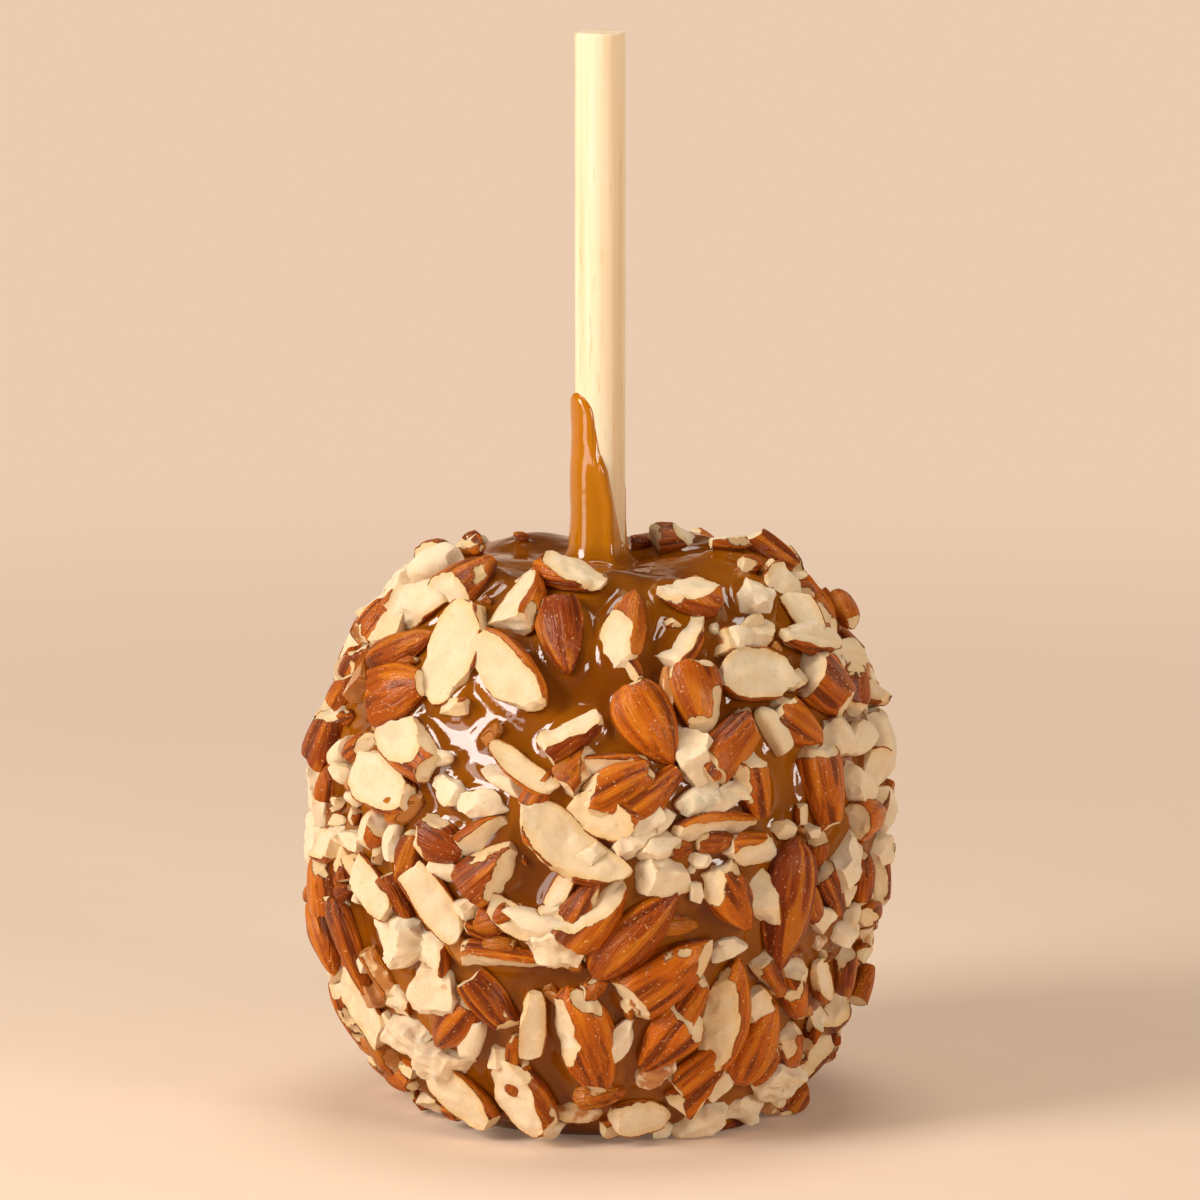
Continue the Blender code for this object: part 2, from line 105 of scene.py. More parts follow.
# ------------------------------------------------------------------ the apple's form
def profile(low=12, high=12, top=8):
    points = []
    for i in range(low):
        a = math.pi / 2 * i / low
        u = math.cos(a) ** (2 / LOW_POWER)
        r = FOOT_R + (WIDE_R - FOOT_R) * math.sin(a) ** (2 / LOW_POWER)
        points.append((r, WIDE_Z * (1 - u)))
    for i in range(high):
        a = math.pi / 2 * i / high
        r = CREST_R + (WIDE_R - CREST_R) * math.cos(a) ** (2 / HIGH_POWER)
        z = WIDE_Z + (CREST_Z - WIDE_Z) * math.sin(a) ** (2 / HIGH_POWER)
        points.append((r, z))
    for i in range(top):
        r = CREST_R * (1 - i / top)
        z = CREST_Z - DIMPLE * (0.5 + 0.5 * math.cos(math.pi * r / CREST_R))
        points.append((r, z))
    return points


def swell(theta, z):
    up = np.clip(z / WIDE_Z, 0, 1)
    ribs = 0.008 * np.cos(LOBES * theta + 0.5) * np.clip((z - 30) / 40, 0, 1)
    sides = 0.010 * np.cos(2 * theta - 0.6) + 0.006 * np.cos(3 * theta + 1.1)
    return 1 + up * (ribs + sides)


def rise(theta, r, z):
    over = np.clip((z - 60) / 25, 0, 1)
    away = np.clip(r / CREST_R, 0, 1) ** 2
    ribs = LOBE_RISE * np.cos(LOBES * theta + 1.9)
    return over * away * (ribs + LEAN * np.cos(theta - 0.4) * 0.5)


FINE = np.array(profile(40, 40, 24) + [(0.0, CREST_Z - DIMPLE)])


def _sd_table():
    r = np.arange(0, 62, 0.25)
    z = np.arange(-12, 112, 0.25)
    R, Z = np.meshgrid(r, z, indexing="ij")
    q = np.stack((R.ravel(), Z.ravel()), 1)
    best = np.full(len(q), 1e9)
    sign = np.ones(len(q))
    for a, b in zip(FINE[:-1], FINE[1:]):
        d = b - a
        t = np.clip(((q - a) @ d) / (d @ d), 0, 1)
        off = q - (a + d * t[:, None])
        m = (off * off).sum(1)
        out = off @ np.array((d[1], -d[0]))
        near = m < best - 1e-12
        best = np.where(near, m, best)
        sign = np.where(near, np.where(out < 0, -1, 1), sign)
    return (np.sqrt(best) * sign).reshape(R.shape)


SD = _sd_table()


def height_over(p):
    """Distance of points (n, 3) from the caramel, + outside."""
    p = np.atleast_2d(np.asarray(p, float))
    rho, theta = np.hypot(p[:, 0], p[:, 1]), np.arctan2(p[:, 1], p[:, 0])
    z = p[:, 2] - rise(theta, rho, p[:, 2])
    r = rho / swell(theta, z)
    a = np.clip(r / 0.25, 0, SD.shape[0] - 1.001)
    b = np.clip((z + 12) / 0.25, 0, SD.shape[1] - 1.001)
    i, j = a.astype(int), b.astype(int)
    u, v = a - i, b - j
    return (SD[i, j] * (1 - u) + SD[i + 1, j] * u) * (1 - v) + (
        SD[i, j + 1] * (1 - u) + SD[i + 1, j + 1] * u
    ) * v


def outward(p, e=0.4):
    k = np.eye(3) * e
    g = height_over(p + k) - height_over(p - k)
    return unit(g)


# ------------------------------------------------------------------ setting out
def view_axes():
    ahead = unit(AIM - EYE)
    right = np.array((1.0, 0.0, 0.0))
    return ahead, right, np.cross(right, ahead)


AHEAD, RIGHT, UP = view_axes()


def seat(u, v, lift):
    way = unit(AIM + u * RIGHT + v * UP - EYE)
    start = np.linalg.norm(AIM - EYE) - 70
    steps = start + np.arange(90)
    h = height_over(EYE + steps[:, None] * way)
    below = np.nonzero(h <= lift)[0]
    if not len(below):
        return EYE + way * steps[int(np.argmin(h))]
    lo, hi = steps[below[0]] - 1, steps[below[0]]
    for _ in range(12):
        mid = (lo + hi) / 2
        lo, hi = (lo, mid) if height_over(EYE + way * mid)[0] <= lift else (mid, hi)
    return EYE + way * hi


def laid_axes(p, angle):
    z = outward(p)
    a = math.radians(angle)
    shown = math.cos(a) * RIGHT + math.sin(a) * UP
    facing = min(float(AHEAD @ z), -0.45)
    x = shown - (shown @ z) / facing * AHEAD
    x = unit(x - (x @ z) * z)
    return x, np.cross(z, x), z


def facing(axes, way, turned):
    """The direction that shows at `way` degrees in the front view, turned up
    from the caramel by `turned` degrees."""
    a, e = math.radians(way), math.radians(turned)
    z = axes[2]
    shown = math.cos(a) * RIGHT + math.sin(a) * UP
    flat = unit(shown - (shown @ z) * z)
    return math.cos(e) * flat + math.sin(e) * z


# ------------------------------------------------------------------ surface nets
def surface_nets(f, lo, hi, h):
    """(vertices, quads) of the zero surface of f in the box, f < 0 inside."""
    axes = [np.arange(a - h, b + 2 * h, h) for a, b in zip(lo, hi)]
    n = [len(a) for a in axes]
    grid = np.stack(np.meshgrid(*axes, indexing="ij"), -1).reshape(-1, 3)
    v = f(grid).reshape(n)
    v[0], v[-1], v[:, 0], v[:, -1], v[:, :, 0], v[:, :, -1] = (9.0,) * 6
    inside = v < 0
    cells = [k - 1 for k in n]
    total = np.zeros(cells + [3])
    count = np.zeros(cells)
    for axis in range(3):
        o1, o2 = [k for k in range(3) if k != axis]
        for d1 in (0, 1):
            for d2 in (0, 1):
                first, second = [None] * 3, [None] * 3
                first[axis], second[axis] = slice(0, -1), slice(1, None)
                for o, d in ((o1, d1), (o2, d2)):
                    s = slice(d, n[o] - 1 + d)
                    first[o] = second[o] = s
                a, b = v[tuple(first)], v[tuple(second)]
                cross = (a < 0) != (b < 0)
                t = np.where(cross, a / np.where(cross, a - b, 1), 0)
                total[..., axis] += np.where(cross, t, 0)
                total[..., o1] += np.where(cross, d1, 0)
                total[..., o2] += np.where(cross, d2, 0)
                count += cross
    active = count > 0
    index = np.full(cells, -1, np.int64)
    index[active] = np.arange(active.sum())
    where = np.argwhere(active)
    verts = (where + total[active] / count[active][:, None]) * h
    verts += np.array([a[0] for a in axes])
    quads = []
    for axis in range(3):
        o1, o2 = (axis + 1) % 3, (axis + 2) % 3
        first, second = [slice(1, -1)] * 3, [slice(1, -1)] * 3
        first[axis], second[axis] = slice(0, -1), slice(1, None)
        a, b = inside[tuple(first)], inside[tuple(second)]
        hit = np.argwhere(a != b)
        if not len(hit):
            continue
        flip = b[tuple(hit.T)]
        base = hit.copy()
        base[:, o1] += 1
        base[:, o2] += 1
        q = []
        for d1, d2 in ((-1, -1), (0, -1), (0, 0), (-1, 0)):
            c = base.copy()
            c[:, o1] += d1
            c[:, o2] += d2
            q.append(index[tuple(c.T)])
        q = np.stack(q, 1)
        q[flip] = q[flip][:, ::-1]
        quads.append(q)
    return verts, np.concatenate(quads)


def width_at(s, tip=0.8):
    """Outline of an almond, 0 at the blunt end, 1 at the tip, fullest 1."""
    s = np.clip(s, 0, 1)
    top = 0.5 / (0.5 + tip)
    return s**0.5 * (1 - s) ** tip / (top**0.5 * (1 - top) ** tip)


class Nut:
    """One piece of almond: an almond lying along its own x with its tip at +x,
    less what lies beyond each of its broken faces."""

    def __init__(self, p, axes, length, width, missing=(0, 0), thick=None, seed=0,
                 bare=False, rough=1.0, bend=0.0, tip=0.8):
        self.p, self.m = np.asarray(p, float), np.array(axes).T
        self.length, self.width = length, width
        self.thick = thick or ALMOND_FLAT * width + 1.6
        self.start, self.end = missing[0], 1 - missing[1]
        self.whole = length / (self.end - self.start)
        self.tip = tip
        self.full = width_at(np.linspace(self.start, self.end, 21), tip).max()
        self.seed, self.bare, self.rough, self.bend = seed, bare, rough, bend
        self.planes = []
        if missing[0] > 0:
            self.planes.append((np.array((-length / 2, 0, 0)), np.array((-1.0, 0, 0)), 1.0))
        if missing[1] > 0:
            self.planes.append((np.array((length / 2, 0, 0)), np.array((1.0, 0, 0)), 1.0))

    def samples(self):
        s = np.linspace(self.start + 1e-3, self.end - 1e-3, 22)
        a = np.linspace(0, 2 * math.pi, 25)[:-1]
        S, A = np.meshgrid(s, a, indexing="ij")
        w = width_at(S, self.tip) / self.full
        q = np.stack(
            (
                (S - (self.start + self.end) / 2) * self.whole,
                self.width / 2 * w * np.cos(A),
                self.thick / 2 * w**0.8 * np.sin(A),
            ),
            -1,
        ).reshape(-1, 3)
        for at, n, _ in self.planes:
            keep = (q - at) @ n < 0.01
            if keep.sum() > 5:
                q = q[keep]
        return q

    def break_off(self, normal, share, local=False, crags=1.0):
        n = normal if local else self.m.T @ normal
        reach = float((self.samples() @ n).max())
        self.planes.append((n * reach * share, n, crags))
        return self

    def outline(self, q):
        """The skin's half width and half thickness at q, and q's place round it."""
        x, y, z = q.T
        s = x / self.whole + (self.start + self.end) / 2
        past = np.maximum(np.maximum(-s, s - 1), 0) * self.whole
        w = np.maximum(width_at(np.clip(s, 0.004, 0.996), self.tip) / self.full, 0.05)
        return self.width / 2 * w, self.thick / 2 * w**0.8, past

    def ribs(self, q):
        """-1..1, the lengthwise wrinkles of the skin, 1 in the grooves."""
        x, y, z = q.T
        a, b, _ = self.outline(q)
        k = np.maximum(np.sqrt((y / a) ** 2 + (z / b) ** 2), 0.2)
        around = np.stack((x * 0.075, y / a / k * 2.6, z / b / k * 2.6), 1)
        return noise(around, 0.72, self.seed)

    def fields(self, q):
        """(k + 1, n): how far points q, in the piece's own axes, are past the
        skin and past each broken face, in mm and below 0 inside."""
        x, y, z = q.T
        if self.bend:
            y = y - self.bend * (x * x / (self.length / 2) ** 2 - 0.4)
        q = np.stack((x, y, z), 1)
        a, b, past = self.outline(q)
        if self.bare:
            k = (np.abs(y / a) ** 3 + np.abs(z / b) ** 3) ** (1 / 3)
            skin = (k - 1) * np.minimum(a, b) + past
        else:
            k = np.sqrt((y / a) ** 2 + (z / b) ** 2)
            skin = (k - 1) * np.minimum(a, b) + past
            skin = skin + 0.23 * self.ribs(q) * np.minimum(a / 3, 1)
            skin = skin + 0.24 * noise(q, 4.5, self.seed + 3)
        if not self.planes:
            return skin[None]
        small = min(1.0, 0.35 + self.width / 12) * self.rough
        warp = np.stack([noise(q, 2.7, self.seed + 11 + i) for i in range(3)], 1)
        fine = noise(q, 0.9, self.seed + 29)
        crag = np.abs(noise(q, 1.9, self.seed + 41)) * 1.7 - 0.35
        q = q + 0.55 * small * warp
        if self.bare:
            skin = skin + small * (0.30 * warp[:, 0] + 0.10 * crag)
        out = [skin]
        for at, n, crags in self.planes:
            out.append((q - at) @ n + small * (0.12 * fine + 0.30 * crags * crag))
        return np.stack(out)

    def mesh(self, cell):
        half = np.array((self.length, self.width + 2 * abs(self.bend), self.thick)) / 2
        half += 0.7
        verts, quads = surface_nets(lambda q: self.fields(q).max(0), -half, half, cell)
        if len(verts) < 8:
            return None
        e, rows = 0.04, np.arange(len(verts))
        for _ in range(2):
            f0 = self.fields(verts)
            g = np.stack([(self.fields(verts + e * k) - f0) / e for k in np.eye(3)], -1)
            order = np.argsort(-f0, axis=0)
            f1, g1 = f0[order[0], rows], g[order[0], rows]
            g11 = np.maximum((g1 * g1).sum(1), 0.2)
            step = (f1 / g11)[:, None] * g1
            if len(f0) > 1:
                f2, g2 = f0[order[1], rows], g[order[1], rows]
                g22 = np.maximum((g2 * g2).sum(1), 0.2)
                g12 = (g1 * g2).sum(1)
                det = g11 * g22 - g12 * g12
                crease = (f1 - f2 < 0.62 * cell) & (g12 / np.sqrt(g11 * g22) < 0.82)
                det = np.where(crease, np.maximum(det, 0.05), 1.0)
                ka = (f1 * g22 - f2 * g12) / det
                kb = (f2 * g11 - f1 * g12) / det
                both = ka[:, None] * g1 + kb[:, None] * g2
                step = np.where(crease[:, None], both, step)
            size = np.linalg.norm(step, axis=1, keepdims=True)
            step *= np.minimum(1, 0.62 * cell / np.maximum(size, 1e-9))
            verts = verts - step
        f0 = self.fields(verts)
        skin = f0[0]
        broken = f0[1:].max(0) if len(f0) > 1 else np.full(len(verts), -9.0)
        x, y, z = verts.T
        streak = np.stack((x / 9.0, y / self.width * 2, z / self.thick * 2), 1)
        world = self.p + verts @ self.m.T
        if self.bare:
            depth, ribs = np.full(len(verts), -3.0), np.zeros(len(verts))
        else:
            depth = np.where(skin > broken - 0.02, 0.0, skin)
            ribs = self.ribs(verts)
        return world, quads, depth, streak + self.seed * 3.7, ribs


# ------------------------------------------------------------------ the plan
# The same rows as the CAD: u and v on the drawing plane, length, width, angle
# of the tip, height of the middle over the caramel, shares missing at the blunt
# end and the tip, S shows skin or F shows flesh, and the broken faces.
FRONT = (
    (-21.6, 2.7, 12.6, 9.2, 40, 1.6, 0.25, 0.05, "S", ((-100, 35, 0.45),)),
    (-31.7, -7.7, 14.1, 5.8, 25, 1.9, 0.0, 0.0, "S", ()),
    (-23.6, -7.6, 18.4, 11.0, 66, 2.1, 0.03, 0.0, "F", ((-115, 78, 0.1),)),
    (-15.2, -11.5, 19.2, 9.3, -45, 2.8, 0.0, 0.0, "F", ((-135, 65, 0.15),)),
    (-33.0, -15.0, 12.8, 11.0, 20, 1.4, 0.2, 0.15, "S", ((180, 30, 0.6),)),
    (-42.9, -20.8, 10.4, 9.4, 60, 1.6, 0.3, 0.2, "S", ((80, 45, 0.55),)),
    (-6.1, -5.6, 14.4, 8.0, -80, 1.0, 0.12, 0.0, "S", ((95, 25, 0.8),)),
    (4.0, -4.5, 14.1, 7.4, 75, 1.4, 0.1, 0.0, "S", ((200, 50, 0.45), (-90, 20, 0.8))),
    (13.3, -6.4, 10.9, 6.7, 50, 1.4, 0.2, 0.1, "S", ((140, 55, 0.15),)),
    (8.0, -20.0, 14.1, 9.6, -60, 1.2, 0.05, 0.0, "S", ()),
    (13.6, 10.1, 10.9, 6.4, 10, 1.6, 0.3, 0.1, "S", ((90, 30, 0.4),)),
    (33.6, -6.1, 14.4, 4.8, -15, 3.4, 0.0, 0.0, "F", ((80, 60, 0.1),)),
    (25.9, -12.0, 15.7, 9.0, -3, 2.8, 0.03, 0.0, "F", ((90, 84, 0.1),)),
    (36.8, -14.4, 12.0, 9.9, -40, 1.8, 0.25, 0.1, "S", ((-40, 30, 0.6),)),
    (-31.2, -22.7, 13.6, 8.3, -45, 2.8, 0.15, 0.2, "F", ((120, 70, 0.2),)),
    (-35.2, -29.1, 15.2, 9.3, -35, 2.6, 0.1, 0.05, "F", ((110, 78, 0.1),)),
    (-36.8, -46.1, 11.5, 6.7, -50, 2.7, 0.2, 0.1, "F", ((60, 70, 0.2),)),
    (-26.9, -48.0, 15.2, 6.7, -55, 2.8, 0.1, 0.1, "F", ((30, 74, 0.2),)),
    (-17.3, -42.9, 10.6, 8.3, 40, 1.7, 0.3, 0.1, "S", ((-20, 30, 0.65),)),
    (-11.7, -27.2, 16.8, 4.2, -38, 2.6, 0.0, 0.0, "F", ((60, 55, 0.1),)),
    (-4.8, -38.6, 23.0, 8.8, -38, 2.9, 0.0, 0.0, "F", ((52, 62, 0.1),)),
    (0.5, -34.4, 12.2, 7.7, -15, 2.4, 0.05, 0.1, "F", ((-150, 66, 0.15),)),
    (7.7, -31.5, 11.5, 6.7, 35, 1.6, 0.1, 0.0, "S", ()),
    (19.0, -36.5, 14.7, 6.7, 12, 1.8, 0.1, 0.0, "S", ((-85, 45, 0.2),)),
    (-1.0, -49.6, 13.4, 9.0, 50, 1.8, 0.2, 0.1, "S", ((110, 40, 0.3),)),
    (-13.9, -50.9, 12.0, 5.1, -35, 2.5, 0.0, 0.0, "F", ((50, 60, 0.1),)),
    (5.7, -53.4, 19.0, 8.4, 45, 1.3, 0.0, 0.0, "S", ()),
    (21.1, -48.0, 12.8, 7.7, -60, 1.5, 0.2, 0.0, "S", ((180, 30, 0.65),)),
    (21.6, -22.1, 14.4, 7.7, 50, 1.5, 0.2, 0.1, "S", ((20, 30, 0.6),)),
    (35.7, -29.8, 13.6, 8.0, -80, 1.8, 0.2, 0.15, "S", ((100, 30, 0.75),)),
    (29.8, -49.0, 21.5, 9.4, -98, 1.7, 0.0, 0.0, "S", ()),
    (-39.7, -55.5, 17.6, 5.1, -70, 1.9, 0.0, 0.0, "S", ()),
    (-23.2, -68.0, 12.5, 7.2, -130, 1.6, 0.05, 0.0, "S", ()),
    (-16.8, -65.1, 12.0, 6.4, -50, 1.7, 0.2, 0.1, "S", ((-60, 30, 0.6),)),
    (-15.0, -57.3, 14.4, 5.4, -5, 1.7, 0.2, 0.1, "S", ((-90, 40, 0.3),)),
    (-22.7, -79.4, 16.8, 8.3, -35, 2.7, 0.05, 0.0, "F", ((80, 76, 0.1),)),
    (-12.5, -80.0, 15.6, 10.2, -50, 2.8, 0.05, 0.0, "F", ((180, 62, 0.15),)),
    (-10.9, -68.5, 13.1, 4.5, 85, 2.7, 0.1, 0.1, "F", ((0, 66, 0.2),)),
    (-2.2, -70.9, 21.0, 10.0, -72, 1.5, 0.0, 0.0, "S", ((185, 35, 0.6),)),
    (11.2, -59.5, 17.9, 9.9, 35, 1.6, 0.15, 0.0, "S", ((-145, 25, 0.75),)),
    (10.4, -70.4, 13.6, 8.8, -132, 1.6, 0.2, 0.0, "S", ((40, 25, 0.7),)),
    (19.8, -65.9, 19.2, 9.6, 75, 1.7, 0.05, 0.0, "S", ((170, 45, 0.35),)),
    (24.8, -70.9, 14.7, 8.3, 65, 1.6, 0.0, 0.0, "S", ()),
    (44.6, -14.4, 9.0, 5.6, 5, 2.6, 0.1, 0.0, "F", ((90, 60, 0.2),)),
    (42.9, -34.4, 10.4, 6.7, 20, 1.9, 0.2, 0.0, "S", ()),
    (-44.0, -54.4, 12.8, 5.0, -65, 1.9, 0.1, 0.0, "S", ()),
)

# Skin tone 0 orange to 1 dark red-brown, and flesh tone 0 cream to 1 toasted,
# for each row above.
SKIN_TONE = (
    0.35, 0.8, 0.4, 0.35, 0.5, 0.75, 0.85, 0.35, 0.3, 0.2,
    0.4, 0.3, 0.4, 0.35, 0.4, 0.3, 0.3, 0.3, 0.8, 0.4,
    0.5, 0.35, 0.3, 0.35, 0.3, 0.5, 0.75, 0.3, 0.4, 0.3,
    1.0, 0.55, 0.55, 0.75, 0.3, 0.4, 0.75, 0.4, 0.2, 0.25,
    0.2, 0.2, 0.15, 0.3, 0.15, 0.35,
)
FLESH_TONE = {2: 0.3, 3: 0.3, 20: 0.35, 21: 0.45, 35: 0.3, 36: 0.1, 41: 0.45, 19: 0.4}

# How far some curved pieces bow, in millimetres.
BEND = {20: 2.6, 19: 1.0, 12: -0.5, 25: 0.8}
# one more broken face, on the piece that stands on the skyline right of the stick
OPENED = {10: (-35, 42, 0.12)}

